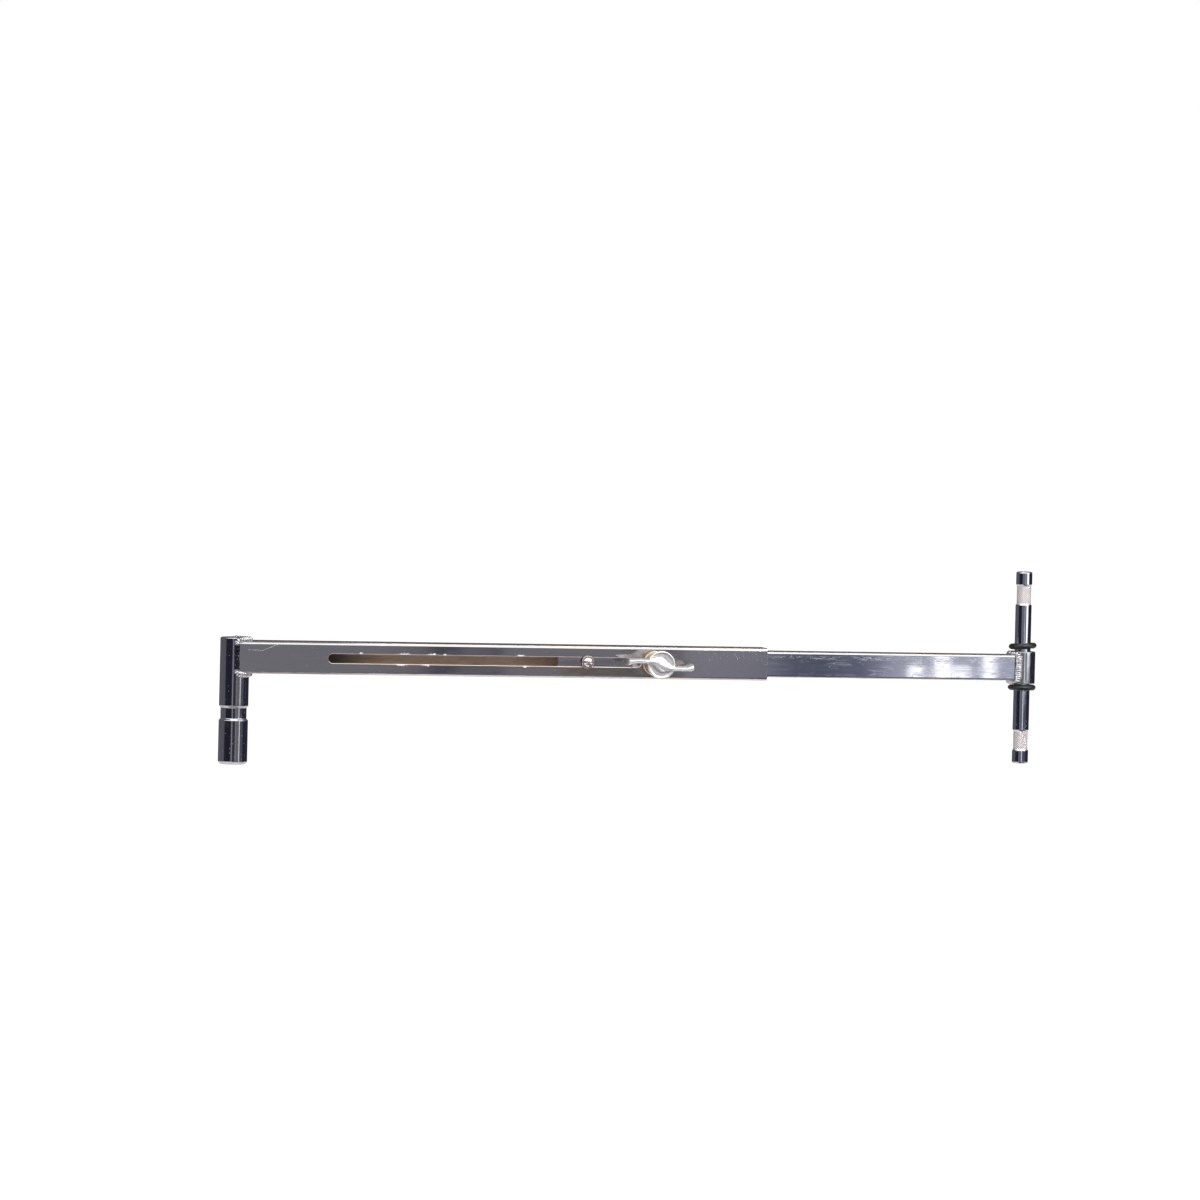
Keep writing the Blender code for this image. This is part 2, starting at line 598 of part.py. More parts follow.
def build():
    clear_scene()
    dark_chrome = material("dark_chrome", (0.35, 0.35, 0.38), 1.0, 0.18)
    bright_chrome = material("bright_chrome", (0.62, 0.62, 0.66), 1.0, 0.10)
    weld_metal = material("weld_metal", (0.66, 0.65, 0.66), 1.0, 0.35)
    warm_steel = material("warm_steel", (0.62, 0.54, 0.43), 1.0, 0.28)
    cast_aluminium = material("cast_aluminium", (0.72, 0.72, 0.74), 1.0, 0.42)
    plain_steel = material("plain_steel", (0.42, 0.41, 0.40), 1.0, 0.40)
    pad_brass = material("pad_brass", (0.66, 0.50, 0.24), 1.0, 0.35)
    black_rubber = material("black_rubber", (0.02, 0.02, 0.02), 0.0, 0.55)

    root = datum("outer_arm_datum", (0, 0, ARM_AXIS_Z))
    junior_pin(root, dark_chrome)
    outer_tube(root, dark_chrome)
    weld_bead("pin_weld", root, weld_metal, PIN_DIA, OUTER_SIZE, OUTER_CORNER, OUTER_START,
              PIN_BEAD_ANGLE, PIN_BEAD_SIDE, PIN_BEAD_TOP)

    out_of_face = (pi / 2, 0, 0)
    clamp = datum("clamp_datum", (CLAMP_X, -CLAMP_FACE, ARM_AXIS_Z), out_of_face)
    clamp_boss(clamp, warm_steel)
    clamp_pad(clamp, pad_brass)
    clamp_screw(clamp, plain_steel)
    t_handle(clamp, cast_aluminium)

    carriage = datum("inner_arm_datum", (STUD_X, 0, ARM_AXIS_Z))
    limit = datum("limit_datum", (LIMIT_X, -INNER_SIZE / 2, ARM_AXIS_Z), out_of_face)
    inner_tube(carriage, limit, bright_chrome)
    limit_hardware(limit, bright_chrome, plain_steel)
    end_sleeve(carriage, bright_chrome)
    weld_bead("sleeve_weld", carriage, weld_metal, SLEEVE_DIA, INNER_SIZE, INNER_CORNER,
              -INNER_SIDE_TRIM, SLEEVE_BEAD_ANGLE, SLEEVE_BEAD_SIDE, SLEEVE_BEAD_TOP)
    baby_stud(carriage, bright_chrome)
    sleeve_end = SLEEVE_HEIGHT / 2
    rubber_ring("upper_ring", carriage, black_rubber, sleeve_end + UPPER_RING_LIFT,
                UPPER_RING_TILT)
    rubber_ring("lower_ring", carriage, black_rubber, -sleeve_end - LOWER_RING_LIFT, 0)


build()
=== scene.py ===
from math import asin, atan2, cos, exp, pi, radians, sin, sqrt
from random import Random

import bmesh
import bpy
from mathutils import Matrix, Quaternion, Vector, kdtree, noise


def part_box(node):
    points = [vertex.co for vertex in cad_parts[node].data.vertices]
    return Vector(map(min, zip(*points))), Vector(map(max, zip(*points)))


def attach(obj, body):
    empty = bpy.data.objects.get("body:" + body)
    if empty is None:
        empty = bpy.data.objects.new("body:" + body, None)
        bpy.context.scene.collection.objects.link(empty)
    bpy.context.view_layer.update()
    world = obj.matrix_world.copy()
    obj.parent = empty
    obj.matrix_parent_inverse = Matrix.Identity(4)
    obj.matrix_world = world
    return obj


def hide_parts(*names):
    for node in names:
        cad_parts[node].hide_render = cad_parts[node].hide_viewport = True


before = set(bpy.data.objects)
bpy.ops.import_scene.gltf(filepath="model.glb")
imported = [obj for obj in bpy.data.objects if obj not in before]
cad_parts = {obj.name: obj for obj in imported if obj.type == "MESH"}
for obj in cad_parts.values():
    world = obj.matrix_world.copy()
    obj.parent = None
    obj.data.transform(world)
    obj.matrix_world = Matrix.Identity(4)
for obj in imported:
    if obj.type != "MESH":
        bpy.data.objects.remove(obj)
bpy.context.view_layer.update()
print("frame loaded")

# Pieces are modelled in millimetres and turned into metres as they are finished.
mm = 0.001
seatGap = 0.3  # how far each piece stands off what carries it
outOfFront = Matrix.Rotation(pi / 2, 3, "X")  # turns a piece spun about Z out of the arm's front


def nodeBox(name):
    low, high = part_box(name)
    return low / mm, high / mm


tubeLow, tubeHigh = nodeBox("outer_tube")
innerLow, innerHigh = nodeBox("inner_tube")
pinLow, pinHigh = nodeBox("junior_pin")
studLow, studHigh = nodeBox("baby_stud")
sleeveLow, sleeveHigh = nodeBox("end_sleeve")
bossLow, bossHigh = nodeBox("clamp_boss")
limitLow, limitHigh = nodeBox("limit_washer")
armZ = (tubeLow.z + tubeHigh.z) / 2
tubeSize = tubeHigh.z - tubeLow.z
innerSize = innerHigh.z - innerLow.z
pinDia = pinHigh.y - pinLow.y
sleeveDia = sleeveHigh.y - sleeveLow.y
studDia = studHigh.y - studLow.y
studX = (studLow.x + studHigh.x) / 2
clampX = (bossLow.x + bossHigh.x) / 2
limitX = (limitLow.x + limitHigh.x) / 2
frontFace = -tubeSize / 2


# Mesh helpers

def meshFrom(name, bm):
    mesh = bpy.data.meshes.new(name)
    bm.to_mesh(mesh)
    bm.free()
    return mesh


def newObject(name, data):
    obj = bpy.data.objects.new(name, data)
    bpy.context.collection.objects.link(obj)
    return obj


def spun(profile, steps=96, closed=False, softSteps=4):
    # profile: (radius, height, softening of that corner), spun about Z
    bm = bmesh.new()
    verts = [bm.verts.new((radius, 0, height)) for radius, height, soft in profile]
    pairs = list(zip(verts, verts[1:]))
    if closed:
        pairs.append((verts[-1], verts[0]))
    for pair in pairs:
        bm.edges.new(pair)
    for amount in sorted({soft for radius, height, soft in profile if soft}):
        corners = [v for v, point in zip(verts, profile) if point[2] == amount]
        bmesh.ops.bevel(bm, geom=corners, affect="VERTICES", offset=amount,
                        offset_type="OFFSET", segments=softSteps, profile=0.5, material=-1)
    bmesh.ops.spin(bm, geom=bm.verts[:] + bm.edges[:], cent=(0, 0, 0), axis=(0, 0, 1),
                   angle=2 * pi, steps=steps, use_merge=True)
    bmesh.ops.remove_doubles(bm, verts=bm.verts, dist=1e-4)
    return bm


def moved(bm, at=(0, 0, 0), turn=None):
    if turn:
        bmesh.ops.rotate(bm, cent=(0, 0, 0), matrix=turn, verts=bm.verts)
    bmesh.ops.translate(bm, vec=at, verts=bm.verts)
    return bm


def onFront(bm, x):
    # stands a piece spun about Z on the arm's front, at x
    return moved(bm, at=(x, frontFace, armZ), turn=outOfFront)


def workObject(bm):
    bmesh.ops.recalc_face_normals(bm, faces=bm.faces)
    return newObject("work", meshFrom("work", bm))


def modified(bm, addModifiers, tools=()):
    # runs modifiers on a bmesh and gives a new one back
    obj = workObject(bm)
    toolObjects = [workObject(tool) for tool in tools]
    addModifiers(obj, toolObjects)
    bpy.context.view_layer.update()
    result = bmesh.new()
    result.from_object(obj, bpy.context.evaluated_depsgraph_get())
    for old in [obj] + toolObjects:
        mesh = old.data
        bpy.data.objects.remove(old)
        bpy.data.meshes.remove(mesh)
    return result


def carved(bm, *cutters, operation="DIFFERENCE"):
    def addBooleans(obj, tools):
        for tool in tools:
            boolean = obj.modifiers.new("carve", "BOOLEAN")
            boolean.operation = operation
            boolean.solver = "EXACT"
            boolean.object = tool
    return modified(bm, addBooleans, cutters)


def fused(bm, voxel, smoothing):
    # melts overlapping lumps into one skin
    def addRemesh(obj, tools):
        remesh = obj.modifiers.new("melt", "REMESH")
        remesh.mode = "VOXEL"
        remesh.voxel_size = voxel
        smooth = obj.modifiers.new("smooth", "SMOOTH")
        smooth.factor = 0.5
        smooth.iterations = smoothing
    return modified(bm, addRemesh)


def addPiece(name, bm, body, finish, replaced, sharp=32, even=True):
    bmesh.ops.scale(bm, vec=(mm, mm, mm), verts=bm.verts)
    bmesh.ops.recalc_face_normals(bm, faces=bm.faces)
    mesh = meshFrom(name, bm)
    mesh.shade_smooth()
    mesh.set_sharp_from_angle(angle=radians(sharp))
    mesh.materials.append(finish)
    piece = newObject(name, mesh)
    if even:
        piece.modifiers.new("even", "WEIGHTED_NORMAL").keep_sharp = True
    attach(piece, body)
    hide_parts(*replaced)
    print(name, len(mesh.polygons), "faces")


def squareTube(start, end, size, look):
    # open box along X, its long edges rounded, given a wall, then its rims softened
    bm = bmesh.new()
    bmesh.ops.create_cube(bm, size=1)
    bmesh.ops.scale(bm, vec=(end - start, size, size), verts=bm.verts)
    moved(bm, at=((start + end) / 2, 0, 0))
    bm.normal_update()
    ends = [f for f in bm.faces if abs(f.normal.x) > 0.9]
    bmesh.ops.delete(bm, geom=ends, context="FACES_ONLY")
    long = [e for e in bm.edges if abs(e.verts[0].co.x - e.verts[1].co.x) > 1]
    bmesh.ops.bevel(bm, geom=long, affect="EDGES", offset=look["corner"], offset_type="OFFSET",
                    segments=look["cornerSteps"], profile=0.5, material=-1)
    bmesh.ops.recalc_face_normals(bm, faces=bm.faces)
    bmesh.ops.solidify(bm, geom=bm.faces[:], thickness=look["wall"])
    bm.normal_update()
    rims = [e for e in bm.edges if len(e.link_faces) == 2
            and abs(abs(e.link_faces[0].normal.x) - abs(e.link_faces[1].normal.x)) > 0.9]
    bmesh.ops.bevel(bm, geom=rims, affect="EDGES", offset=look["rim"], offset_type="OFFSET",
                    segments=3, profile=0.5, material=-1)
    return bm


spare = 2  # how far a cutter stands past what it cuts


def slotTool(radiusIn, radiusOut, low, high, length, steps=64):
    # a cone or cylinder pulled out along X, lying in the arm's front
    bm = bmesh.new()
    bmesh.ops.create_cone(bm, cap_ends=True, segments=steps, radius1=radiusIn,
                          radius2=radiusOut, depth=high - low)
    moved(bm, turn=Matrix.Rotation(pi / steps, 3, "Z"))
    far = [v for v in bm.verts if v.co.x > 0]
    bmesh.ops.translate(bm, vec=(length, 0, 0), verts=far)
    moved(bm, at=(0, 0, (low + high) / 2))
    return moved(bm, turn=outOfFront)


# Node helpers

class Sock:
    def __init__(self, graph, socket):
        self.graph = graph
        self.socket = socket

    def maths(self, operation, *others):
        inputs = {0: self}
        inputs.update({k + 1: other for k, other in enumerate(others)})
        return self.graph.node("Math", {"operation": operation}, inputs)

    def __add__(self, other):
        return self.maths("ADD", other)

    def __sub__(self, other):
        return self.maths("SUBTRACT", other)

    def __mul__(self, other):
        return self.maths("MULTIPLY", other)

    def __truediv__(self, other):
        return self.maths("DIVIDE", other)

    def __rsub__(self, other):
        return self * -1 + other

    def size(self):
        return self.maths("ABSOLUTE")

    def most(self, other):
        return self.maths("MAXIMUM", other)

    def least(self, other):
        return self.maths("MINIMUM", other)

    def rise(self, low, high):
        # 0 below low, 1 above high, smooth between; a fall where low is the larger
        inputs = {"Value": self, "From Min": low, "From Max": high}
        return self.graph.node("MapRange", {"interpolation_type": "SMOOTHSTEP"}, inputs)

    def riseMm(self, low, high):
        # the same, between lengths in mm
        return self.rise(low * mm, high * mm)


class Graph:
    def __init__(self, tree):
        self.tree = tree

    def node(self, kind, settings=None, inputs=None, out=0):
        node = self.tree.nodes.new("ShaderNode" + kind)
        for key, value in (settings or {}).items():
            if key == "stops":
                self.setStops(node.color_ramp, value)
            else:
                setattr(node, key, value)
        for key, value in (inputs or {}).items():
            if isinstance(value, Sock):
                self.tree.links.new(value.socket, node.inputs[key])
            else:
                node.inputs[key].default_value = value
        return Sock(self, node.outputs[out])

    def setStops(self, ramp, stops):
        while len(ramp.elements) < len(stops):
            ramp.elements.new(1.0)
        while len(ramp.elements) > len(stops):
            ramp.elements.remove(ramp.elements[-1])
        for element, (place, colour) in zip(ramp.elements, stops):
            element.position = place
            element.color = (*colour, 1.0)

    def position(self):
        return self.node("TexCoord", out="Object")

    def split(self, vector):
        parts = self.node("SeparateXYZ", inputs={0: vector}).socket.node
        return [Sock(self, output) for output in parts.outputs]

    def stretched(self, vector, by):
        return self.node("VectorMath", {"operation": "MULTIPLY"}, {0: vector, 1: by})

    def turned(self, vector, angles):
        return self.node("Mapping", {"vector_type": "POINT"}, {0: vector, "Rotation": angles})

    def cloud(self, vector, scale, detail=3.0, roughness=0.55, distortion=0.0):
        return self.node("TexNoise", inputs={"Vector": vector, "Scale": scale, "Detail": detail,
                                             "Roughness": roughness, "Distortion": distortion})

    def mix(self, factor, one, two):
        inputs = {"Factor": factor, 6: one, 7: two}
        return self.node("Mix", {"data_type": "RGBA"}, inputs, out=2)

    def attribute(self, name):
        return self.node("Attribute", {"attribute_name": name}, out="Fac")


class Finish(Graph):
    # a material with its Principled shader, its colour and relief built up layer by layer
    def __init__(self, name, colour=(0, 0, 0, 1), rough=0.5):
        self.material = bpy.data.materials.new(name)
        self.material.use_nodes = True
        super().__init__(self.material.node_tree)
        self.shader = self.tree.nodes["Principled BSDF"]
        self.colour = colour
        self.rough = rough
        self.metal = 0.0
        self.height = 0.0

    def set(self, socket, value):
        if isinstance(value, Sock):
            self.tree.links.new(value.socket, self.shader.inputs[socket])
        else:
            self.shader.inputs[socket].default_value = value

    def layer(self, mask, colour, share=1.0, rough=0.0):
        # lays a colour over the finish where mask is 1, and adds to its roughness there
        self.colour = self.mix(mask * share, self.colour, colour)
        if rough:
            self.rough = mask * rough + self.rough

    def finished(self):
        self.set("Base Color", self.colour)
        self.set("Roughness", self.rough)
        self.set("Metallic", self.metal)
        self.set("Normal", self.node("Bump", inputs={"Height": self.height, "Distance": mm,
                                                     "Strength": 1.0}))
        return self.material

    def scratches(self, vector, scale, length, width, sparse):
        # nearly straight lines along X: contours of a noise drawn out by length, in patches
        drawnOut = self.stretched(vector, (1 / length, 1, 1))
        lines = self.cloud(drawnOut, scale, 1.0, 0.5)
        line = (lines - 0.5).size().rise(width, width * 0.3)
        patches = self.cloud(self.stretched(vector, (0.3, 1, 1)), scale * 0.11, 3.0, 0.6)
        return line * patches.rise(sparse, sparse + 0.06)

    def gouge(self, x, up, ends, width):
        # one straight scratch between two points, (x, up) in metres
        (x1, up1), (x2, up2) = ends
        length = sqrt((x2 - x1) ** 2 + (up2 - up1) ** 2)
        dx, dup = (x2 - x1) / length, (up2 - up1) / length
        along = (x - x1) * dx + (up - up1) * dup
        past = (along - length / 2).size() - length / 2
        across = ((up - up1) * dx - (x - x1) * dup).size()
        return across.rise(width, width * 0.4) * past.rise(width, 0)

    def specks(self, vector, scale, share, radius):
        # round spots in a share of the cells
        inputs = {"Vector": vector, "Scale": scale, "Randomness": 1.0}
        spot = self.node("TexVoronoi", {"feature": "F1"}, inputs, out="Distance")
        pick = self.split(Sock(self, spot.socket.node.outputs["Color"]))[0]
        return spot.rise(radius, radius * 0.5) * pick.rise(1 - share, 1 - share * 0.9)


# Plated finishes. Their wears, and the painted shade and reflection tones on some, are added in
# turn; reaches run in mm from none to full.

plate = dict(
    colour=(0.585, 0.585, 0.60, 1), tarnish=(0.42, 0.40, 0.40, 1),
    rust=(0.16, 0.11, 0.08, 1), worn=(0.85, 0.84, 0.83, 1), roughness=0.05,
    smudge=0.25, pitShare=0.05, waveScale=30, waveDepth=0.010, drawDepth=0.0010,
    hairlines=0.35, gouges=0.70)


def platedFinish(name, look, *marks):
    g = Finish(name, look["colour"], look["roughness"])
    p = g.position()
    wave = g.cloud(p, look["waveScale"], 1.0, 0.4)
    peel = g.cloud(p, 900, 2.0, 0.5)
    drawn = g.cloud(g.stretched(p, (0.012, 1, 1)), 1500, 3.0, 0.6)
    smudge = g.cloud(g.stretched(p, (0.4, 1, 1)), 60, 6.0, 0.7).rise(0.50, 0.78)
    hairline = g.scratches(p, 1400, 60, 0.030, 0.52)
    slanted = g.scratches(g.turned(p, (0.3, 0.45, 0.2)), 600, 60, 0.008, look["gouges"])
    steep = g.scratches(g.turned(p, (-0.2, -1.1, 0.4)), 450, 50, 0.007, look["gouges"])
    scratch = (hairline * look["hairlines"]).most(slanted).most(steep)
    pits = g.specks(p, 420, look["pitShare"], 0.22)
    g.layer(smudge, look["tarnish"], look["smudge"])
    g.layer(scratch, look["worn"], 0.6)
    g.layer(pits, look["rust"], 0.9)
    g.rough = smudge * 0.05 + scratch * 0.25 + pits * 0.4 + g.rough
    g.metal = 1 - pits * 0.8
    g.height = wave * look["waveDepth"] + peel * 0.0002 + drawn * look["drawDepth"]
    g.height = g.height - scratch * 0.005 - pits * 0.03
    x, y, z = g.split(p)
    up = z - armZ * mm
    for mark in marks:
        mark(g, look, p, x, y, up)
    return g.finished()


outerLook = dict(
    plate, half=tubeSize / 2, wall=2.77, corner=3.4, cornerSteps=10, rim=0.45, slotWidth=9.1,
    slotChamfer=0.5, slotStart=89.7, spigotRadius=8.3,
    bare=(0.68, 0.56, 0.48, 1), scale=(0.80, 0.70, 0.61, 1),
    sooty=(0.045, 0.03, 0.025, 1), sootyReach=(150, 84),
    lip=(0.74, 0.61, 0.51, 1), lipReach=(0.72, 0.52),
    grease=(0.20, 0.165, 0.14, 1), greaseReach=(50, 26),
    white=(0.95, 0.93, 0.92, 1), wornReach=(4.4, 0.2),
    wornSpots=((122, 6, 1), (165, 15, 1), (162, 17, -1), (192, 11, 1),
               (186, 12, -1), (205, 7, 1), (280, 11, 1), (285, 7, -1)),
    scuffReach=(425, 470), scuffTilt=(-8, 9), scratchWidth=0.32,
    longScratch=((10.5, 7.6), (24.5, 6.8), (39.5, 13.0)),
    gouges=0.70, hairlines=0.38, waveDepth=0.006)
innerLook = dict(
    outerLook, half=innerSize / 2, colour=(0.62, 0.63, 0.67, 1), wall=2.1, corner=2.6,
    cornerSteps=8, rim=0.3, holeRadius=2.8, waveScale=34, waveDepth=0.012, drawDepth=0.0035,
    roughness=0.03, hairlines=0.7, gouges=0.72, dullBlue=(0.44, 0.46, 0.52, 1),
    dullReach=(690, 620), dashHeight=7.2, dashReach=(2.4, 0.6))


def outside(y, look):
    return y.riseMm(0.6 - look["half"], 0.1 - look["half"])


def insideBare(g, look, p, x, y, up):
    # the tube's bore and cut edges were never plated, and its long edges are rubbed
    half = look["half"]
    across, high = y.size(), up.size()
    inside = across.most(high).riseMm(half - 0.35, half - 0.9)
    patchy = g.cloud(g.stretched(p, (0.3, 1, 1)), 200, 5.0, 0.65)
    steel = g.mix(patchy.rise(0.35, 0.7), look["bare"], look["scale"])
    # the bore is darker towards the pin end
    steel = g.mix(x.riseMm(*look["sootyReach"]) * 0.85, steel, look["sooty"])
    g.layer(inside, steel)
    g.rough = inside * (patchy * 0.2 + 0.35) + g.rough
    g.metal = g.metal * (1 - inside * 0.9)
    g.height = g.height + inside * patchy * 0.12
    edge = across.least(high).riseMm(half - look["corner"], half - look["corner"] * 0.3)
    rub = edge * g.cloud(p, 210, 4.0, 0.6).rise(0.56, 0.68) * (1 - inside)
    g.layer(rub, look["worn"], 0.15, 0.06)


def streaksAndDashes(g, look, p, x, y, up):
    # long streaks on the tube's left part, painted darker and bluer as a reflection tone and a
    # little rougher, and a row of dashes along the upper front
    broad = g.cloud(g.stretched(p, (0.035, 1, 1)), 300, 5.0, 0.6).rise(0.40, 0.62)
    dull = broad * x.riseMm(*look["dullReach"]) * outside(y, look)
    g.layer(dull, look["dullBlue"], 0.5, 0.03)
    row = (up - look["dashHeight"] * mm).size().riseMm(*look["dashReach"]) * outside(y, look)
    dashes = g.scratches(p, 1000, 9, 0.028, 0.46) * row
    g.layer(dashes, look["white"], 0.8, 0.3)
    g.height = g.height - dashes * 0.01


def slotWear(g, look, p, x, y, up):
    # the slot's edge is bare and warm, with patches worn white round it
    # wornSpots: middle, half length, and 1 for the upper edge or -1 for the lower
    half = look["half"]
    radius = look["slotWidth"] / 2 * mm
    past = (look["slotStart"] * mm + radius - x).most(0)
    off = (past * past + up * up).maths("SQRT") - radius
    before = x.riseMm(slotEnd + 1, slotEnd) * y.riseMm(1.6 - half, 0.8 - half)
    g.layer(off.riseMm(*look["lipReach"]) * before, look["lip"], 1.0, 0.3)
    worn = g.cloud(g.stretched(p, (0.7, 1, 1)), 700, 6.0, 0.8)
    spots = 0.0
    for middle, spread, edge in look["wornSpots"]:
        beside = (x - middle * mm).size().riseMm(spread, 0) * (up * edge).riseMm(0, 1)
        spots = beside + spots
    near = spots * off.riseMm(*look["wornReach"]) * before
    white = (near * 0.38 + worn).rise(0.76, 0.86) * before
    g.layer(white, look["white"], 1.0, 0.3)
    g.metal = (g.metal - white * 0.6).most(0)
    g.height = g.height + white * g.cloud(p, 900, 3.0, 0.6) * 0.1


def clampShade(g, look, p, x, y, up):
    # painted shade: the tube round the clamp is browned where it mirrors the handle's shaded back
    dx = x - clampX * mm
    far = (dx * dx + up * up).maths("SQRT") + g.cloud(p, 120, 4.0, 0.6) * 0.02
    g.layer(far.riseMm(*look["greaseReach"]) * outside(y, look), look["grease"], 0.55, 0.14)


def endScuffs(g, look, p, x, y, up):
    # fine scuffs towards the tube's open end, more of them above, and one long bent scratch
    scuff = g.specks(p, 700, 0.32, 0.30) * g.cloud(p, 90, 3.0, 0.6).rise(0.30, 0.60)
    scuff = (g.cloud(p, 900, 3.0, 0.7).rise(0.40, 0.78) * 0.6).most(scuff)
    scuff = scuff * x.riseMm(*look["scuffReach"])
    scuff = scuff * (up.riseMm(*look["scuffTilt"]) * 0.6 + 0.4)
    g.layer(scuff, look["white"], 0.9, 0.35)
    points = [(along * mm, high * mm) for along, high in look["longScratch"]]
    for ends in zip(points, points[1:]):
        scratch = g.gouge(x, up, ends, look["scratchWidth"] * mm) * outside(y, look)
        g.layer(scratch, look["white"], 0.8, 0.3)


def knurlBright(g, look, p, x, y, up):
    # the knurled necks are duller and lighter than the shank, and dark in their grooves
    low, high = look["knurlBand"]
    band = up.size().riseMm(low - 0.5, low) * up.size().riseMm(high + 0.5, high)
    grain = g.cloud(p, 900, 3.0, 0.6)
    knurl = g.mix(grain, look["knurlDull"], look["knurlLight"])
    deep = g.attribute("groove").rise(0.45, 0.9) * 0.9
    g.layer(band, g.mix(deep, knurl, look["knurlDark"]))
    g.rough = band * (grain * 0.10 + 0.24) + g.rough


slotEnd = clampX - (bossHigh.x - bossLow.x) / 2 - outerLook["slotChamfer"] / 2
outerFinish = platedFinish("outerTubePlate", outerLook, insideBare, slotWear, clampShade,
                           endScuffs)
innerFinish = platedFinish("innerTubePlate", innerLook, insideBare, streaksAndDashes)
pinFinish = platedFinish("pinPlate", dict(plate, smudge=0.5, pitShare=0.12))
sleeveFinish = platedFinish("sleevePlate", dict(
    plate, smudge=0.6, pitShare=0.12, roughness=0.11, waveScale=110, waveDepth=0.03))


# Other finishes

def weldFinish(name, look):
    g = Finish(name, look["dull"])
    p = g.position()
    groove = g.attribute("groove")
    mottle = g.cloud(p, 520, 5.0, 0.65)
    soot = g.cloud(p, 190, 4.0, 0.6).rise(0.55, 0.72)
    spatter = g.specks(p, 700, 0.25, 0.3)
    # painted shade: the bead is darkened along its sides, between its top and bottom
    side = (g.split(p)[2] - armZ * mm).size().riseMm(*look["paintedSideReach"])
    g.layer(mottle.rise(0.35, 0.65), look["bright"])
    g.layer(groove.rise(0.55, 1.0), look["sootAndShade"], 0.6)
    g.layer(soot, look["sootAndShade"], look["soot"])
    g.layer(side, look["sootAndShade"], look["paintedSideShade"])
    g.layer(spatter, look["bright"], 0.7)
    g.rough = mottle * 0.10 + groove * 0.12 + soot * 0.15 + look["roughness"]
    g.metal = 1 - groove.rise(0.7, 1.0) * 0.4
    g.height = mottle * 0.10 - groove * 0.12 + spatter * 0.05
    return g.finished()


def castFinish(name, look):
    # tumbled aluminium, with painted shade at the back and on the bar's tips
    g = Finish(name, look["metal"])
    p = g.position()
    sand = g.cloud(p, 1500, 4.0, 0.65)
    lumps = g.cloud(p, 260, 3.0, 0.5)
    grime = g.cloud(p, 120, 5.0, 0.7).rise(0.50, 0.72)
    pores = g.specks(p, 620, 0.16, 0.26)
    nick = g.scratches(g.turned(p, (0.4, 0.7, 0.1)), 700, 20, 0.012, 0.57)
    x, y = g.split(p)[:2]
    tip = (x - clampX * mm).size().riseMm(*look["tipReach"])
    # painted shade over the back and the bar's tips
    shadeMask = g.cloud(p, 200, 4.0, 0.6).rise(0.25, 0.6) * 0.3 + 0.7
    shadeMask = y.riseMm(*look["backReach"]).most(tip * 0.6) * shadeMask
    g.layer(sand.rise(0.3, 0.7), look["light"])
    # grime in patches, and painted shade in the dish under the bar
    g.layer(grime * 0.30 + g.attribute("hollow") * 0.45, look["grime"])
    g.layer(shadeMask, look["grease"], 0.8)
    g.layer(nick, look["light"], 0.7)
    g.layer(pores, look["pore"], 0.85)
    g.rough = sand * 0.16 + grime * 0.14 - nick * 0.12 + look["roughness"]
    g.metal = 1 - pores * 0.6 - grime * 0.15
    g.height = sand * 0.05 + lumps * 0.12 - pores * 0.08 - nick * 0.02
    return g.finished()


def turnedFinish(name, look):
    # lathe lines run round an axis that stands out of the arm's front at axisX
    g = Finish(name, look["metal"])
    p = g.position()
    x, y, z = g.split(p)
    dx = x - look["axisX"] * mm
    dz = z - armZ * mm
    radius = (dx * dx + dz * dz).maths("SQRT")
    lines = g.cloud(g.node("CombineXYZ", inputs={0: radius, 1: y}), look["lines"], 2.0, 0.7)
    stain = g.cloud(p, 230, 5.0, 0.65).rise(0.45, 0.70)
    nick = g.specks(p, 800, 0.12, 0.25)
    g.layer(lines.rise(0.35, 0.65), look["light"])
    g.layer(stain, look["stain"], 0.55)
    g.layer(nick, look["pore"], 0.8)
    g.rough = lines * 0.12 + stain * 0.18 + look["roughness"]
    g.metal = 1 - nick * 0.5 - stain * 0.1
    g.height = lines * 0.012 - nick * 0.03
    return g.finished()


def rubberFinish(name, look):
    g = Finish(name, look["rubber"])
    p = g.position()
    skin = g.cloud(p, 1100, 4.0, 0.6)
    dust = g.cloud(p, 240, 6.0, 0.75).rise(0.52, 0.74)
    scuff = g.scratches(p, 620, 4, 0.03, 0.55)
    g.layer(dust * 0.25 + scuff * 0.3, look["dust"])
    g.rough = skin * 0.15 + dust * 0.18 + look["roughness"]
    g.height = skin * 0.03 + dust * 0.02 - scuff * 0.04
    g.set("Specular IOR Level", 0.45)
    return g.finished()


weldLook = dict(
    bright=(0.85, 0.84, 0.84, 1), dull=(0.60, 0.60, 0.62, 1),
    sootAndShade=(0.05, 0.045, 0.05, 1), soot=0.5, paintedSideShade=0.0, paintedSideReach=(14.5, 11),
    roughness=0.07)
# the pin bead's sides are painted near-black navy, as shade and dark reflection
pinBeadFinish = weldFinish("pinBead", dict(
    weldLook, sootAndShade=(0.015, 0.016, 0.025, 1), soot=0.7, paintedSideShade=1.0))
sleeveBeadFinish = weldFinish("sleeveBead", weldLook)
handleFinish = castFinish("handleCasting", dict(
    metal=(0.72, 0.72, 0.73, 1), light=(0.90, 0.90, 0.90, 1), grime=(0.36, 0.32, 0.28, 1),
    pore=(0.14, 0.12, 0.11, 1), grease=(0.21, 0.18, 0.155, 1), backReach=(-50, -38),
    tipReach=(31.6, 32.5), roughness=0.34))
bossFinish = turnedFinish("bossSteel", dict(
    axisX=clampX, lines=2600, metal=(0.66, 0.52, 0.33, 1), light=(0.88, 0.75, 0.54, 1),
    stain=(0.36, 0.27, 0.17, 1), pore=(0.10, 0.07, 0.04, 1), roughness=0.20))
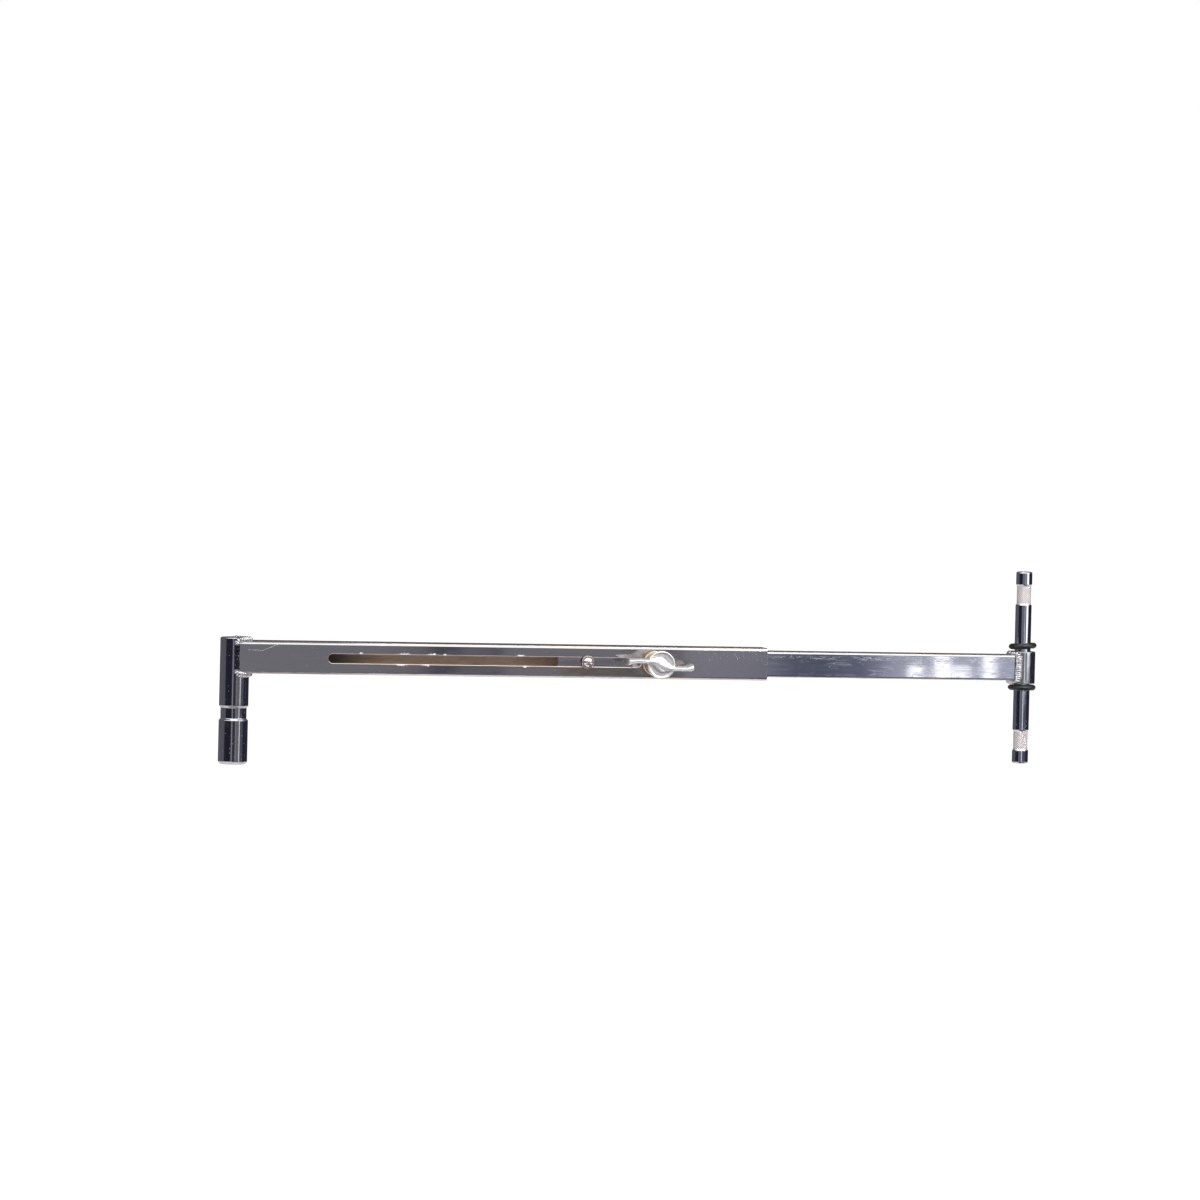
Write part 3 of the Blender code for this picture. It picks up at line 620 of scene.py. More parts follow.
steelFinish = turnedFinish("plainSteel", dict(
    axisX=clampX, lines=2200, metal=(0.46, 0.45, 0.44, 1), light=(0.64, 0.63, 0.62, 1),
    stain=(0.22, 0.19, 0.16, 1), pore=(0.08, 0.06, 0.05, 1), roughness=0.26))
padFinish = turnedFinish("padBrass", dict(
    axisX=clampX, lines=2400, metal=(0.72, 0.53, 0.24, 1), light=(0.85, 0.68, 0.36, 1),
    stain=(0.40, 0.26, 0.12, 1), pore=(0.12, 0.08, 0.04, 1), roughness=0.24))
limitPlate = dict(
    axisX=limitX, lines=2400, metal=(0.78, 0.73, 0.70, 1),
    light=(0.96, 0.93, 0.90, 1), stain=(0.42, 0.34, 0.28, 1),
    pore=(0.12, 0.08, 0.06, 1), roughness=0.05)
limitFinish = turnedFinish("limitPlate", limitPlate)
washerFinish = turnedFinish("washerPlate", dict(
    limitPlate, metal=(0.74, 0.55, 0.45, 1), light=(0.92, 0.76, 0.66, 1), roughness=0.12))
ringFinish = rubberFinish("blackRubber", dict(
    rubber=(0.007, 0.007, 0.008, 1), dust=(0.05, 0.048, 0.048, 1), roughness=0.28))
print("finishes made")


# Tubes

def postCutter(radius, reach):
    # cuts a tube's end to the round post that it is welded to
    return spun([(0, -reach, 0), (radius, -reach, 0), (radius, reach, 0), (0, reach, 0)], 128)


def outerTube():
    look = outerLook
    bm = squareTube(tubeLow.x, tubeHigh.x, tubeSize, look)
    cope = postCutter(pinDia / 2 + seatGap, tubeSize)
    radius = look["slotWidth"] / 2
    chamfer = look["slotChamfer"]
    length = slotEnd - look["slotStart"] - look["slotWidth"]
    start = look["slotStart"] + radius
    through = slotTool(radius, radius, -look["wall"] - spare, spare, length)
    over = 0.2
    flare = slotTool(radius - over, radius + chamfer + over, -chamfer - over, over, length)
    for tool in (through, flare):
        moved(tool, at=(start, frontFace, 0))
    spigot = slotTool(look["spigotRadius"], look["spigotRadius"], -look["wall"] - spare, spare, 0)
    moved(spigot, at=(clampX, frontFace, 0))
    bm = carved(bm, cope, through, flare, spigot)
    moved(bm, at=(0, 0, armZ))
    addPiece("outerTube", bm, "outer_arm", outerFinish, ["outer_tube"])


def innerTube():
    look = innerLook
    bm = squareTube(innerLow.x, innerHigh.x, innerSize, look)
    cope = postCutter(sleeveDia / 2 + seatGap, innerSize)
    moved(cope, at=(studX, 0, 0))
    hole = slotTool(look["holeRadius"], look["holeRadius"], -look["wall"] - spare, spare, 0)
    moved(hole, at=(limitX, -innerSize / 2, 0))
    bm = carved(bm, cope, hole)
    moved(bm, at=(0, 0, armZ))
    addPiece("innerTube", bm, "inner_arm", innerFinish, ["inner_tube"])


# Pin, sleeve and stud

pinLook = dict(endRound=2.5, topRound=1.1, groove=(43.0, 57.0), grooveDepth=1.6)


def juniorPin():
    look = pinLook
    radius = pinDia / 2
    low, high = look["groove"]
    depth = look["grooveDepth"]
    top = pinHigh.z
    bm = spun([(0, 0, 0), (radius - look["endRound"], 0, 0.6), (radius, look["endRound"], 0.6),
               (radius, low, 0.4), (radius - depth, low + depth, 0.5),
               (radius - depth, high - depth, 0.5), (radius, high, 0.4),
               (radius, top, look["topRound"]), (0, top, 0)], 128)
    addPiece("juniorPin", bm, "outer_arm", pinFinish, ["junior_pin"])


sleeveLook = dict(boreRound=0.5, endRound=0.8)


def endSleeve():
    outer = sleeveDia / 2
    bore = studDia / 2 + seatGap
    half = (sleeveHigh.z - sleeveLow.z) / 2
    boreRound, endRound = sleeveLook["boreRound"], sleeveLook["endRound"]
    bm = spun([(bore, -half, boreRound), (outer, -half, endRound), (outer, half, endRound),
               (bore, half, boreRound)], 128, closed=True)
    moved(bm, at=(studX, 0, armZ))
    addPiece("endSleeve", bm, "inner_arm", sleeveFinish, ["end_sleeve"])


studLook = dict(
    plate, smudge=0.35, colour=(0.56, 0.585, 0.625, 1), cap=13.5, neck=18.5, neckDia=14.2,
    tipRound=1.7, capSlope=0.9, shoulderRound=0.3, knurlCount=20, knurlPitch=2.2, knurlDepth=0.5,
    knurlRows=96, crestWidth=0.18, runOut=0.8, knurlDull=(0.88, 0.84, 0.83, 1),
    knurlLight=(0.97, 0.94, 0.93, 1), knurlDark=(0.28, 0.21, 0.21, 1))


def babyStud():
    look = studLook
    radius = studDia / 2
    neck = look["neckDia"] / 2
    half = (studHigh.z - studLow.z) / 2
    capLow = half - look["cap"]
    neckLow = capLow - look["neck"]
    rows = [neckLow + look["neck"] * k / look["knurlRows"] for k in range(look["knurlRows"] + 1)]
    shoulder = look["shoulderRound"]
    upper = [(radius, neckLow - (radius - neck), shoulder)]
    upper += [(neck, height, 0) for height in rows]
    upper += [(radius, capLow + look["capSlope"], shoulder), (radius, half, look["tipRound"]),
              (0, half, 0)]
    lower = [(r, -h, soft) for r, h, soft in reversed(upper)]
    bm = spun(lower + upper, 192)
    groove = bm.verts.layers.float.new("groove")
    for v in bm.verts:
        away = abs(v.co.z)
        if neckLow + 0.2 < away < capLow - 0.2:
            turn = atan2(v.co.y, v.co.x) / (2 * pi) * look["knurlCount"]
            climb = (away - neckLow) / look["knurlPitch"]
            one = abs((turn + climb) % 1 - 0.5) * 2
            two = abs((turn - climb) % 1 - 0.5) * 2
            flank = 1 - look["crestWidth"]
            crest = min(one, two, flank) / flank
            edge = min(1, (away - neckLow) / look["runOut"], (capLow - away) / look["runOut"])
            grow = 1 - look["knurlDepth"] * (1 - crest) * edge / neck
            v.co.x *= grow
            v.co.y *= grow
            v[groove] = (1 - crest) * edge
    moved(bm, at=(studX, 0, armZ))
    finish = platedFinish("studPlate", dict(look, knurlBand=(neckLow, capLow)), knurlBright)
    addPiece("babyStud", bm, "inner_arm", finish, ["baby_stud"], sharp=50)


ringLook = dict(section=5.6, sectionSteps=28, flash=0.16, flashWidth=0.5, squash=0.10)


def rubberRing(name, node, tilt, seed):
    look = ringLook
    low, high = nodeBox(node)
    half = look["section"] / 2
    centre = studDia / 2 + seatGap + half
    steps = look["sectionSteps"]
    profile = []
    for k in range(steps):
        a = 2 * pi * k / steps
        swell = look["flash"] * exp(-(half * sin(a) / look["flashWidth"]) ** 2) * (cos(a) > 0)
        profile.append((centre + (half + swell - look["flash"]) * cos(a), half * sin(a), 0))
    bm = spun(profile, 120, closed=True)
    for v in bm.verts:
        ripple = noise.noise(Vector((v.co.x, v.co.y, v.co.z * 0.3 + seed)) * 0.16)
        v.co.z *= 1 - look["squash"] * (0.5 + ripple)
    lean = Matrix.Rotation(-radians(tilt), 3, "Y")
    moved(bm, at=(studX, 0, (low.z + high.z) / 2), turn=lean)
    addPiece(name, bm, "inner_arm", ringFinish, [node], sharp=70, even=False)


# Weld beads

beadLook = dict(lift=0.7, corner=3.0, voxel=0.30, uneven=(0.90, 1.08), shift=0.25, lumps=0.14)
pinBeadLook = dict(beadLook, angle=90.0, side=3.0, top=3.2, spacing=1.7, seed=4)
sleeveBeadLook = dict(beadLook, angle=60.5, side=3.9, top=2.9, spacing=1.9, seed=11)


def beadLoop(postRadius, halfHeight, look):
    # a round-cornered rectangle wrapped on the post, walked at even steps
    halfWidth = postRadius * radians(look["angle"])
    corner = look["corner"]
    sides = [2 * (halfHeight - corner), 2 * (halfWidth - corner)]
    bend = corner * pi / 2
    total = 2 * sum(sides) + 4 * bend
    count = round(total / look["spacing"])
    for k in range(count):
        s = total * k / count
        turn = 0
        while s > sides[turn % 2] + bend:
            s -= sides[turn % 2] + bend
            turn += 1
        straight = sides[turn % 2]
        out = halfWidth if turn % 2 == 0 else halfHeight
        a = max(0, s - straight) / corner
        flat = Vector((out - corner + corner * cos(a),
                       min(s, straight) - straight / 2 + corner * sin(a)))
        share = cos(a) ** 2 if turn % 2 == 0 else sin(a) ** 2
        flat.rotate(Matrix.Rotation(turn * pi / 2, 2))
        wrap = flat.x / postRadius
        yield Vector((postRadius * cos(wrap), postRadius * sin(wrap), flat.y)), share


def weldBead(name, node, post, postRadius, size, way, body, finish, look):
    # overlapping flattened drops along the joint, melted together
    chance = Random(look["seed"])
    loop = list(beadLoop(postRadius, size / 2 + look["lift"], look))
    places = [Vector((point.x * way, point.y, point.z)) for point, share in loop]
    bm = bmesh.new()
    for k, (point, share) in enumerate(loop):
        radius = share * look["side"] + (1 - share) * look["top"]
        radius *= chance.uniform(*look["uneven"])
        ahead = (places[(k + 1) % len(places)] - places[k - 1]).normalized()
        shift = Vector([chance.uniform(-look["shift"], look["shift"]) for axis in range(3)])
        turn = ahead.to_track_quat("Z", "Y").to_matrix().to_4x4()
        shape = Matrix.Diagonal((radius, radius, look["spacing"] * 0.95, 1))
        bmesh.ops.create_uvsphere(bm, u_segments=16, v_segments=10, radius=1,
                                  matrix=Matrix.Translation(places[k] + shift) @ turn @ shape)
    bm = fused(bm, look["voxel"], 3)
    tree = kdtree.KDTree(len(places))
    for k, place in enumerate(places):
        tree.insert(place, k)
    tree.balance()
    for v in bm.verts:
        v.co += v.normal * look["lumps"] * noise.noise(v.co * 0.9 + Vector((look["seed"], 0, 0)))
    groove = bm.verts.layers.float.new("groove")
    for v in bm.verts:
        place, k = tree.find(v.co)[:2]
        ahead = (places[(k + 1) % len(places)] - places[k - 1]).normalized()
        v[groove] = min(1.0, abs((v.co - place).dot(ahead)) / (look["spacing"] / 2))
    moved(bm, at=(post, 0, armZ))
    low, high = nodeBox(node)
    for v in bm.verts:
        v.co = Vector([min(max(c, a), b) for c, a, b in zip(v.co, low, high)])
    addPiece(name, bm, body, finish, [node], sharp=60, even=False)


# Clamp

clampBore = 5.05  # radius of the hole that the clamp screw runs in
handleLook = dict(
    rearRadius=9.8, frontRadius=11.5, flangeRadius=13.8, flangeThickness=3.6, neck=4.0, rim=1.7,
    dish=0.7, boreDepth=21.3, span=65.4, front=3.6, fall=3.4, rear=1.4, crown=1.0,
    crownWidth=7.0, wing=4.9, offset=3.6, bend=14.0, hubBar=15.6, hubWidth=6.6, squareness=3.4,
    hook=2.6, hookLength=6.7, tipLength=1.6, tipTaper=(0.16, 0.04), voxel=0.36)


def handleBar(hubRear, flangeFront, look):
    # a round-edged bar cut into slices, each slid and swelled into the S shape
    length = look["span"]
    bm = bmesh.new()
    bmesh.ops.create_cube(bm, size=2)
    bmesh.ops.subdivide_edges(bm, edges=bm.edges, cuts=3, use_grid_fill=True)
    long = [e for e in bm.edges if abs(e.verts[0].co.x - e.verts[1].co.x) > 0.1]
    bmesh.ops.subdivide_edges(bm, edges=long, cuts=15, use_grid_fill=True)
    for v in bm.verts:
        ring = max(abs(v.co.y), abs(v.co.z))
        power = look["squareness"]
        bulge = (abs(v.co.y) ** power + abs(v.co.z) ** power) ** (1 / power)
        if bulge > 0:
            v.co.y *= ring / bulge
            v.co.z *= ring / bulge
        x = v.co.x * length / 2
        side = -1 if x > 0 else 1
        middle = side * look["offset"] * sin(min(1, abs(x) / look["bend"]) * pi / 2)
        half = look["wing"] / 2
        half += (look["hubBar"] / 2 - half) * exp(-(x / look["hubWidth"]) ** 2)
        t = min(1, max(0, (abs(x) - length / 2 + look["hookLength"]) / look["hookLength"]))
        hook = look["hook"] * t * t * (3 - 2 * t)
        middle -= side * hook / 2
        half += hook / 2
        front = flangeFront + look["front"] - look["fall"] * (2 * x / length) ** 2
        front += look["crown"] * exp(-(x / look["crownWidth"]) ** 2)
        rear = hubRear + look["rear"]
        tip = max(0, abs(x) - length / 2 + look["tipLength"]) / look["tipLength"]
        narrow, thin = [1 - taper * tip ** 2 for taper in look["tipTaper"]]
        v.co = Vector((x, middle + v.co.y * half * narrow,
                       (front + rear) / 2 + v.co.z * (front - rear) / 2 * thin))
    return bm


def tHandle():
    look = handleLook
    low, high = nodeBox("t_handle")
    hubRear = -high.y + frontFace
    flangeFront = -low.y + frontFace - look["front"] - look["crown"]
    rear, front, flange = look["rearRadius"], look["frontRadius"], look["flangeRadius"]
    flangeRear = flangeFront - look["flangeThickness"]
    hub = spun([(0, hubRear, 0), (rear, hubRear, 1.0), (front, flangeRear - look["neck"], 1.5),
                (flange, flangeRear, 1.0), (flange, flangeFront, 1.1),
                (flange - look["rim"], flangeFront, 0.5),
                (flange - look["rim"] - look["dish"], flangeFront - look["dish"], 0.5),
                (0, flangeFront - look["dish"], 0)], 96)
    bar = handleBar(hubRear, flangeFront, look)
    bm = carved(hub, bar, operation="UNION")
    bm = fused(bm, look["voxel"], 5)
    low, deep = hubRear - spare, hubRear + look["boreDepth"]
    bore = spun([(0, low, 0), (clampBore, low, 0), (clampBore, deep, 0), (0, deep, 0)], 64)
    bm = carved(bm, bore)
    # the dish is marked for painted shade
    hollow = bm.verts.layers.float.new("hollow")
    for v in bm.verts:
        out = sqrt(v.co.x ** 2 + v.co.y ** 2)
        inDish = out < flange - look["rim"] and abs(v.co.z - flangeFront + look["dish"]) < 0.8
        v[hollow] = 0.8 if inDish else 0.0
        lump = noise.noise(v.co * 0.22) * 0.16 + noise.noise(v.co * 0.7) * 0.05
        v.co += v.normal * (lump - 0.10)
    onFront(bm, clampX)
    addPiece("tHandle", bm, "handle", handleFinish, ["t_handle"], sharp=70,
             even=False)


bossLook = dict(spigot=8.0, mouth=0.9, edgeRound=1.0)


def clampBoss():
    radius = (bossHigh.x - bossLow.x) / 2
    top = frontFace - bossLow.y
    bottom = -outerLook["wall"]
    spigot, mouth = bossLook["spigot"], bossLook["mouth"]
    bm = spun([(clampBore, bottom, 0.3), (spigot, bottom, 0.3), (spigot, seatGap, 0),
               (radius, seatGap, 0.25), (radius, top, bossLook["edgeRound"]),
               (clampBore + mouth, top, 0.2), (clampBore, top - mouth, 0.1)], 128, closed=True)
    onFront(bm, clampX)
    addPiece("clampBoss", bm, "outer_arm", bossFinish, ["clamp_boss"])


screwLook = dict(
    pitch=1.5875, depth=0.72, steps=40, endRoom=0.8, socketRadius=1.6, socketDepth=4.6)


def clampScrew():
    # one groove profile wound up the screw, on a core with the pad's socket in its end
    look = screwLook
    low, high = nodeBox("clamp_screw")
    radius = (high.x - low.x) / 2
    start = frontFace - high.y
    end = frontFace - low.y
    pitch = look["pitch"]
    room = look["endRoom"]
    turns = int((end - start - 2 * room) / pitch)
    bm = bmesh.new()
    root = radius - look["depth"]
    shape = [(root, 0), (root, pitch * 0.12), (radius, pitch * 0.5), (radius, pitch * 0.62),
             (root, pitch)]
    verts = [bm.verts.new((r, 0, start + room + h)) for r, h in shape]
    edges = [bm.edges.new(pair) for pair in zip(verts, verts[1:])]
    bmesh.ops.spin(bm, geom=verts + edges, cent=(0, 0, 0), axis=(0, 0, 1), angle=2 * pi * turns,
                   steps=look["steps"] * turns, dvec=(0, 0, pitch / look["steps"]))
    bmesh.ops.remove_doubles(bm, verts=bm.verts, dist=0.02)
    socket = look["socketRadius"]
    deep = start + look["socketDepth"]
    skin = root + 0.02
    core = spun([(0, deep, 0), (socket, deep, 0), (socket, start, 0.2),
                 (root - 0.1, start, 0.3), (skin, start + 0.7, 0), (skin, end, 0),
                 (0, end, 0)], 40)
    mesh = meshFrom("core", core)
    bm.from_mesh(mesh)
    bpy.data.meshes.remove(mesh)
    onFront(bm, clampX)
    addPiece("clampScrew", bm, "handle", steelFinish, ["clamp_screw"], sharp=40,
             even=False)


# Limit screw and its washer

limitLook = dict(
    headRadius=4.3, edge=1.1, shank=2.5, domeSteps=8, washerHole=2.8, recess=2.3,
    recessWidth=1.0, recessDepth=1.6, recessTaper=(0.35, 0.7, 1), recessTurn=38)


def limitScrew():
    look = limitLook
    low, high = nodeBox("limit_screw")
    top = frontFace - low.y
    bottom = frontFace - high.y
    headLow = frontFace - limitLow.y + seatGap
    head = look["headRadius"]
    rise = top - headLow - look["edge"]
    dome = (head ** 2 + rise ** 2) / (2 * rise)
    swing = asin(head / dome)
    profile = [(0, bottom, 0), (look["shank"], bottom, 0.5), (look["shank"], headLow, 0),
               (head, headLow, 0.2)]
    for k in range(look["domeSteps"], -1, -1):
        a = swing * k / look["domeSteps"]
        profile.append((dome * sin(a), top - dome + dome * cos(a), 0))
    bm = spun(profile, 64)
    wings = []
    for k in range(2):
        wing = bmesh.new()
        bmesh.ops.create_cube(wing, size=1)
        bmesh.ops.scale(wing, vec=(2 * look["recess"], look["recessWidth"],
                                   2 * look["recessDepth"]), verts=wing.verts)
        deep = [v for v in wing.verts if v.co.z < 0]
        bmesh.ops.scale(wing, vec=look["recessTaper"], verts=deep)
        turn = Matrix.Rotation(radians(look["recessTurn"]) + k * pi / 2, 3, "Z")
        wings.append(moved(wing, at=(0, 0, top), turn=turn))
    bm = carved(bm, *wings)
    onFront(bm, limitX)
    addPiece("limitScrew", bm, "inner_arm", limitFinish, ["limit_screw"],
             even=False)


def limitWasher():
    radius = (limitHigh.x - limitLow.x) / 2
    bottom = frontFace - limitHigh.y
    top = frontFace - limitLow.y
    hole = limitLook["washerHole"]
    bm = spun([(hole, bottom, 0.1), (radius, bottom, 0.2), (radius, top, 0.35),
               (hole, top, 0.25)], 96, closed=True)
    onFront(bm, limitX)
    addPiece("limitWasher", bm, "inner_arm", washerFinish, ["limit_washer"])


outerTube()
innerTube()
juniorPin()
endSleeve()
babyStud()
rubberRing("upperRing", "upper_ring", 4.0, 3)
rubberRing("lowerRing", "lower_ring", 0.0, 8)
weldBead("pinBead", "pin_weld", 0, pinDia / 2, tubeSize, 1, "outer_arm", pinBeadFinish,
         pinBeadLook)
weldBead("sleeveBead", "sleeve_weld", studX, sleeveDia / 2, innerSize, -1, "inner_arm",
         sleeveBeadFinish, sleeveBeadLook)
tHandle()
clampBoss()
clampScrew()
limitScrew()
limitWasher()
for node, finish in (("clamp_pad", padFinish), ("limit_bush", steelFinish),
                     ("limit_nut", steelFinish)):
    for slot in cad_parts[node].material_slots:
        slot.material = finish
print("pieces made")


# Studio: a white world, a pale floor, two lamps, and screens, cards, mats and a ceiling that
# only show in the arm's shine

studio = dict(
    floorDrop=0.62, floorSize=60.0, floorGlow=1.16, floorWhite=0.86, ringRadius=5.0,
    ringHigh=1.6, hoodLow=0.8, cardDistance=1.2, cardStep=0.002, backDistance=4.5, fill=0.42)
lamps = [("key", (1.9, -2.6, 2.1), 1.0, 85.0),  # name, place, size, power
         ("top", (0.2, -0.5, 3.2), 1.6, 60.0)]


def makeWorld():
    world = bpy.data.worlds.new("studio")
    bpy.context.scene.world = world
    world.use_nodes = True
    g = Graph(world.node_tree)
    background = world.node_tree.nodes["Background"]
    rays = world.node_tree.nodes.new("ShaderNodeLightPath")
    shown = Sock(g, rays.outputs["Is Camera Ray"])
    shown = shown.most(Sock(g, rays.outputs["Is Glossy Ray"]))
    shown = shown.most(Sock(g, rays.outputs["Is Transmission Ray"]))
    strength = shown * (1 - studio["fill"]) + studio["fill"]
    background.inputs["Color"].default_value = (1, 1, 1, 1)
    world.node_tree.links.new(strength.socket, background.inputs["Strength"])


# brightness of the screens by compass angle: 0 faces the arm's front, plus is to its right
ringTones = [
    (-180, (1, 1, 1)), (-168, (1, 1, 1)), (-162, (0.15, 0.15, 0.17)), (-86, (0.13, 0.13, 0.15)),
    (-78, (0.025, 0.025, 0.045)), (-34, (0.02, 0.02, 0.04)), (-26, (0.06, 0.06, 0.08)),
    (-20, (0.42, 0.42, 0.44)), (-14, (0.05, 0.05, 0.07)), (28, (0.05, 0.05, 0.08)),
    (32, (0.12, 0.12, 0.15)), (68, (0.10, 0.10, 0.13)), (74, (0.03, 0.03, 0.05)),
    (140, (0.03, 0.03, 0.05)), (150, (0.16, 0.16, 0.18)), (158, (1, 1, 1)), (180, (1, 1, 1))]

# tones of the front card, by their place along the arm in metres
frontTones = [
    (0.10, (0.25, 0.245, 0.275)), (0.36, (0.23, 0.225, 0.25)), (0.400, (0.19, 0.185, 0.21)),
    (0.408, (0.10, 0.10, 0.125)), (0.432, (0.10, 0.10, 0.125)), (0.440, (0.17, 0.165, 0.19)),
    (0.470, (0.18, 0.175, 0.20)), (0.474, (0.12, 0.12, 0.14)), (0.480, (0.12, 0.12, 0.14)),
    (0.486, (0.23, 0.225, 0.255)), (0.62, (0.25, 0.24, 0.26)), (0.70, (0.29, 0.285, 0.335)),
    (0.77, (0.25, 0.25, 0.30)), (0.80, (0.13, 0.14, 0.19)), (0.845, (0.14, 0.15, 0.20)),
    (0.858, (0.19, 0.20, 0.27)), (0.868, (0.15, 0.16, 0.22)), (0.885, (0.24, 0.25, 0.33)),
    (0.905, (0.45, 0.45, 0.54)), (0.96, (0.56, 0.56, 0.65)), (1.03, (0.50, 0.52, 0.64)),
    (1.08, (0.56, 0.58, 0.70)), (1.20, (0.42, 0.44, 0.52))]
# upright cards, metres: left, right, low, high, glow, then tones along them
cards = [
    ("frontCard", 0.10, 1.20, -0.60, 0.46, 1.0, frontTones),
    ("brownCard", 0.55, 0.665, -0.10, 0.043, 1.0, [(0.55, (0.17, 0.14, 0.12))]),
    ("paneOne", 0.924, 0.940, -0.10, 0.047, 2.0, [(0.924, (0.97, 0.97, 1))]),
    ("paneTwo", 0.953, 0.967, -0.10, 0.09, 2.3, [(0.953, (0.98, 0.98, 1))]),
    ("paneThree", 0.970, 0.990, -0.10, 0.049, 1.7, [(0.970, (0.98, 0.98, 1))]),
    ("paneFour", 1.004, 1.017, -0.10, 0.075, 2.1, [(1.004, (0.98, 0.98, 1))]),
    ("sideCard", 1.20, 3.0, 0.0, 0.05, 1.0,
     [(1.20, (0.42, 0.44, 0.52)), (2.0, (0.34, 0.35, 0.42)), (3.0, (0.10, 0.10, 0.13))]),
    ("softbox", 1.50, 2.9, 0.037, 1.5, 1.9, [(1.50, (1, 1, 1))]),
]
backCard = ("backCard", -3.0, 5.0, -0.6, 0.58, 1.0, [(-3.0, (0.10, 0.085, 0.09))])

# level cards, metres: left, right, front, back, height, glow, tone
# the ceiling draws the white line along the tubes' top corners, the mats darken the lower ones
levels = [
    ("ceiling", -3.1, 3.9, -4.2, 0.0, 1.7, 1.7, (1, 1, 1)),
    ("leftMat", -0.4, 0.62, -1.2, -0.5, -0.6, 1.0, (0.20, 0.195, 0.21)),
    ("rightMat", 0.62, 1.6, -1.2, 0.2, -0.6, 1.0, (0.12, 0.12, 0.15)),
]


def glowCloth(name, place, stops, glow):
    # one tone all over, or tones blended along a place from 0 to 1
    g = Finish(name)
    tone = (*stops[0][1], 1)
    if len(stops) > 1:
        tone = g.node("ValToRGB", {"stops": stops}, {0: place(g)})
    g.set("Base Color", (0, 0, 0, 1))
    g.set("Specular IOR Level", 0.0)
    g.set("Emission Color", tone)
    g.set("Emission Strength", glow)
    return g.material


def setAside(name, bm, cloth):
    # only the arm's shine sees these
    mesh = meshFrom(name, bm)
    mesh.materials.append(cloth)
    screen = newObject(name, mesh)
    screen.visible_camera = False
    screen.visible_diffuse = False
    screen.visible_shadow = False


def makeRing():
    look = studio
    bm = bmesh.new()
    ring = bmesh.ops.create_circle(bm, segments=96, radius=look["ringRadius"])
    grown = bmesh.ops.extrude_edge_only(bm, edges=bm.edges[:])["geom"]
    top = [v for v in grown if isinstance(v, bmesh.types.BMVert)]
    bmesh.ops.translate(bm, vec=(0, 0, -look["floorDrop"]), verts=ring["verts"])
    bmesh.ops.translate(bm, vec=(0, 0, look["ringHigh"]), verts=top)

    def compass(g):
        x, y = g.split(g.position())[:2]
        return x.maths("ARCTAN2", y * -1) / (2 * pi) + 0.5
    stops = [(angle / 360 + 0.5, tone) for angle, tone in ringTones]
    setAside("ring", bm, glowCloth("ringCloth", compass, stops, 1.0))


def makeHood():
    # a dim shell over the back, above the white wall behind the arm
    look = studio
    radius = look["ringRadius"] - 0.2
    bm = bmesh.new()
    count = 10
    rise = [asin(look["hoodLow"] / radius) + (pi / 2 - 0.2) * k / count for k in range(count)]
    verts = [bm.verts.new((radius * cos(a), 0, radius * sin(a))) for a in rise]
    edges = [bm.edges.new(pair) for pair in zip(verts, verts[1:])]
    bmesh.ops.spin(bm, geom=verts + edges, cent=(0, 0, 0), axis=(0, 0, 1), angle=pi, steps=32)
    setAside("hood", bm, glowCloth("hoodCloth", None, [(0, (0.16, 0.16, 0.18))], 1.0))


def panel(wide, deep, middle, turn=None):
    bm = bmesh.new()
    bmesh.ops.create_grid(bm, x_segments=1, y_segments=1, size=0.5)
    bmesh.ops.scale(bm, vec=(wide, deep, 1), verts=bm.verts)
    return moved(bm, at=middle, turn=turn)


def makeLevel(name, left, right, front, back, height, glow, tone):
    middle = ((left + right) / 2, (front + back) / 2, height)
    bm = panel(right - left, back - front, middle)
    setAside(name, bm, glowCloth(name + "Cloth", None, [(0, tone)], glow))


def makeCard(name, left, right, low, high, glow, tones, away):
    middle = ((left + right) / 2, -away, (low + high) / 2)
    bm = panel(right - left, high - low, middle, outOfFront)

    def along(g):
        return (g.split(g.position())[0] - left) / (right - left)
    stops = [((x - left) / (right - left), tone) for x, tone in tones]
    setAside(name, bm, glowCloth(name + "Cloth", along, stops, glow))


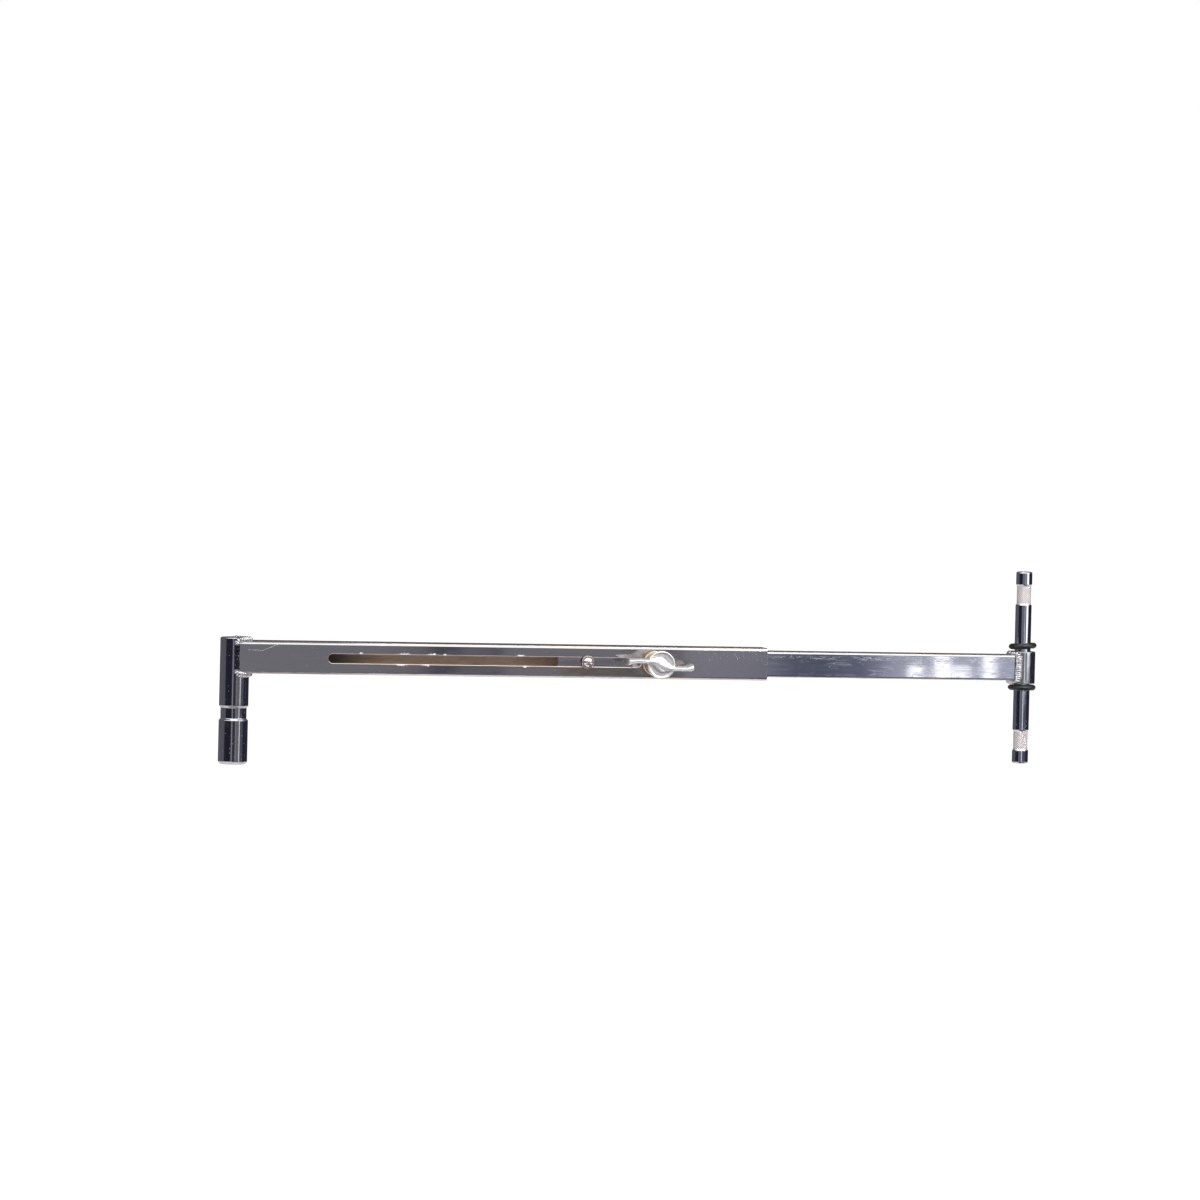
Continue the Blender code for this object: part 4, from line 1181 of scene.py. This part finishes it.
def makeFloor():
    # white to the camera, and a paper that takes the arm's shadow
    look = studio
    wide = 2 * look["floorSize"]
    mesh = meshFrom("floor", panel(wide, wide, (0, 0, -look["floorDrop"])))
    g = Finish("paperFloor")
    rays = g.tree.nodes.new("ShaderNodeLightPath")
    seen = Sock(g, rays.outputs["Is Camera Ray"])
    g.set("Base Color", (0.90, 0.875, 0.875, 1))
    g.set("Roughness", 0.9)
    g.set("Specular IOR Level", 0.0)
    glow = {"Color": (1, 1, 1, 1), "Strength": look["floorGlow"]}
    white = g.node("Emission", inputs=glow)
    blend = g.tree.nodes.new("ShaderNodeMixShader")
    g.tree.links.new((seen * look["floorWhite"]).socket, blend.inputs[0])
    g.tree.links.new(g.shader.outputs[0], blend.inputs[1])
    g.tree.links.new(white.socket, blend.inputs[2])
    g.tree.links.new(blend.outputs[0], g.tree.nodes["Material Output"].inputs["Surface"])
    mesh.materials.append(g.material)
    newObject("floor", mesh)


def makeLamp(name, at, size, power):
    light = bpy.data.lights.new(name, "AREA")
    light.shape = "DISK"
    light.size = size
    light.energy = power
    lamp = newObject(name, light)
    lamp.location = at
    toArm = Vector((clampX * mm, 0, armZ * mm)) - Vector(at)
    lamp.rotation_euler = toArm.to_track_quat("-Z", "Y").to_euler()
    lamp.visible_camera = False


photoView = dict(azimuth=-10.97, elevation=2.52, roll=1.34, distance=14.0, lens=430.1,
                 aim=(0.3602, 0, 0.1650))


def makeCamera():
    look = photoView
    a = radians(look["azimuth"])
    e = radians(look["elevation"])
    back = Vector((sin(a) * cos(e), -cos(a) * cos(e), sin(e)))
    camera = newObject("camera", bpy.data.cameras.new("camera"))
    camera.location = Vector(look["aim"]) + back * look["distance"]
    level = back.to_track_quat("Z", "Y")
    camera.rotation_euler = (level @ Quaternion((0, 0, 1), radians(look["roll"]))).to_euler()
    camera.data.lens = look["lens"]
    camera.data.sensor_width = 36
    camera.data.clip_end = 200
    bpy.context.scene.camera = camera


makeWorld()
makeRing()
makeHood()
for number, card in enumerate(cards):
    makeCard(*card, studio["cardDistance"] - studio["cardStep"] * number)
makeCard(*backCard, -studio["backDistance"])
for level in levels:
    makeLevel(*level)
makeFloor()
for lamp in lamps:
    makeLamp(*lamp)
makeCamera()
bpy.context.scene.view_settings.view_transform = "Standard"
print("studio made")
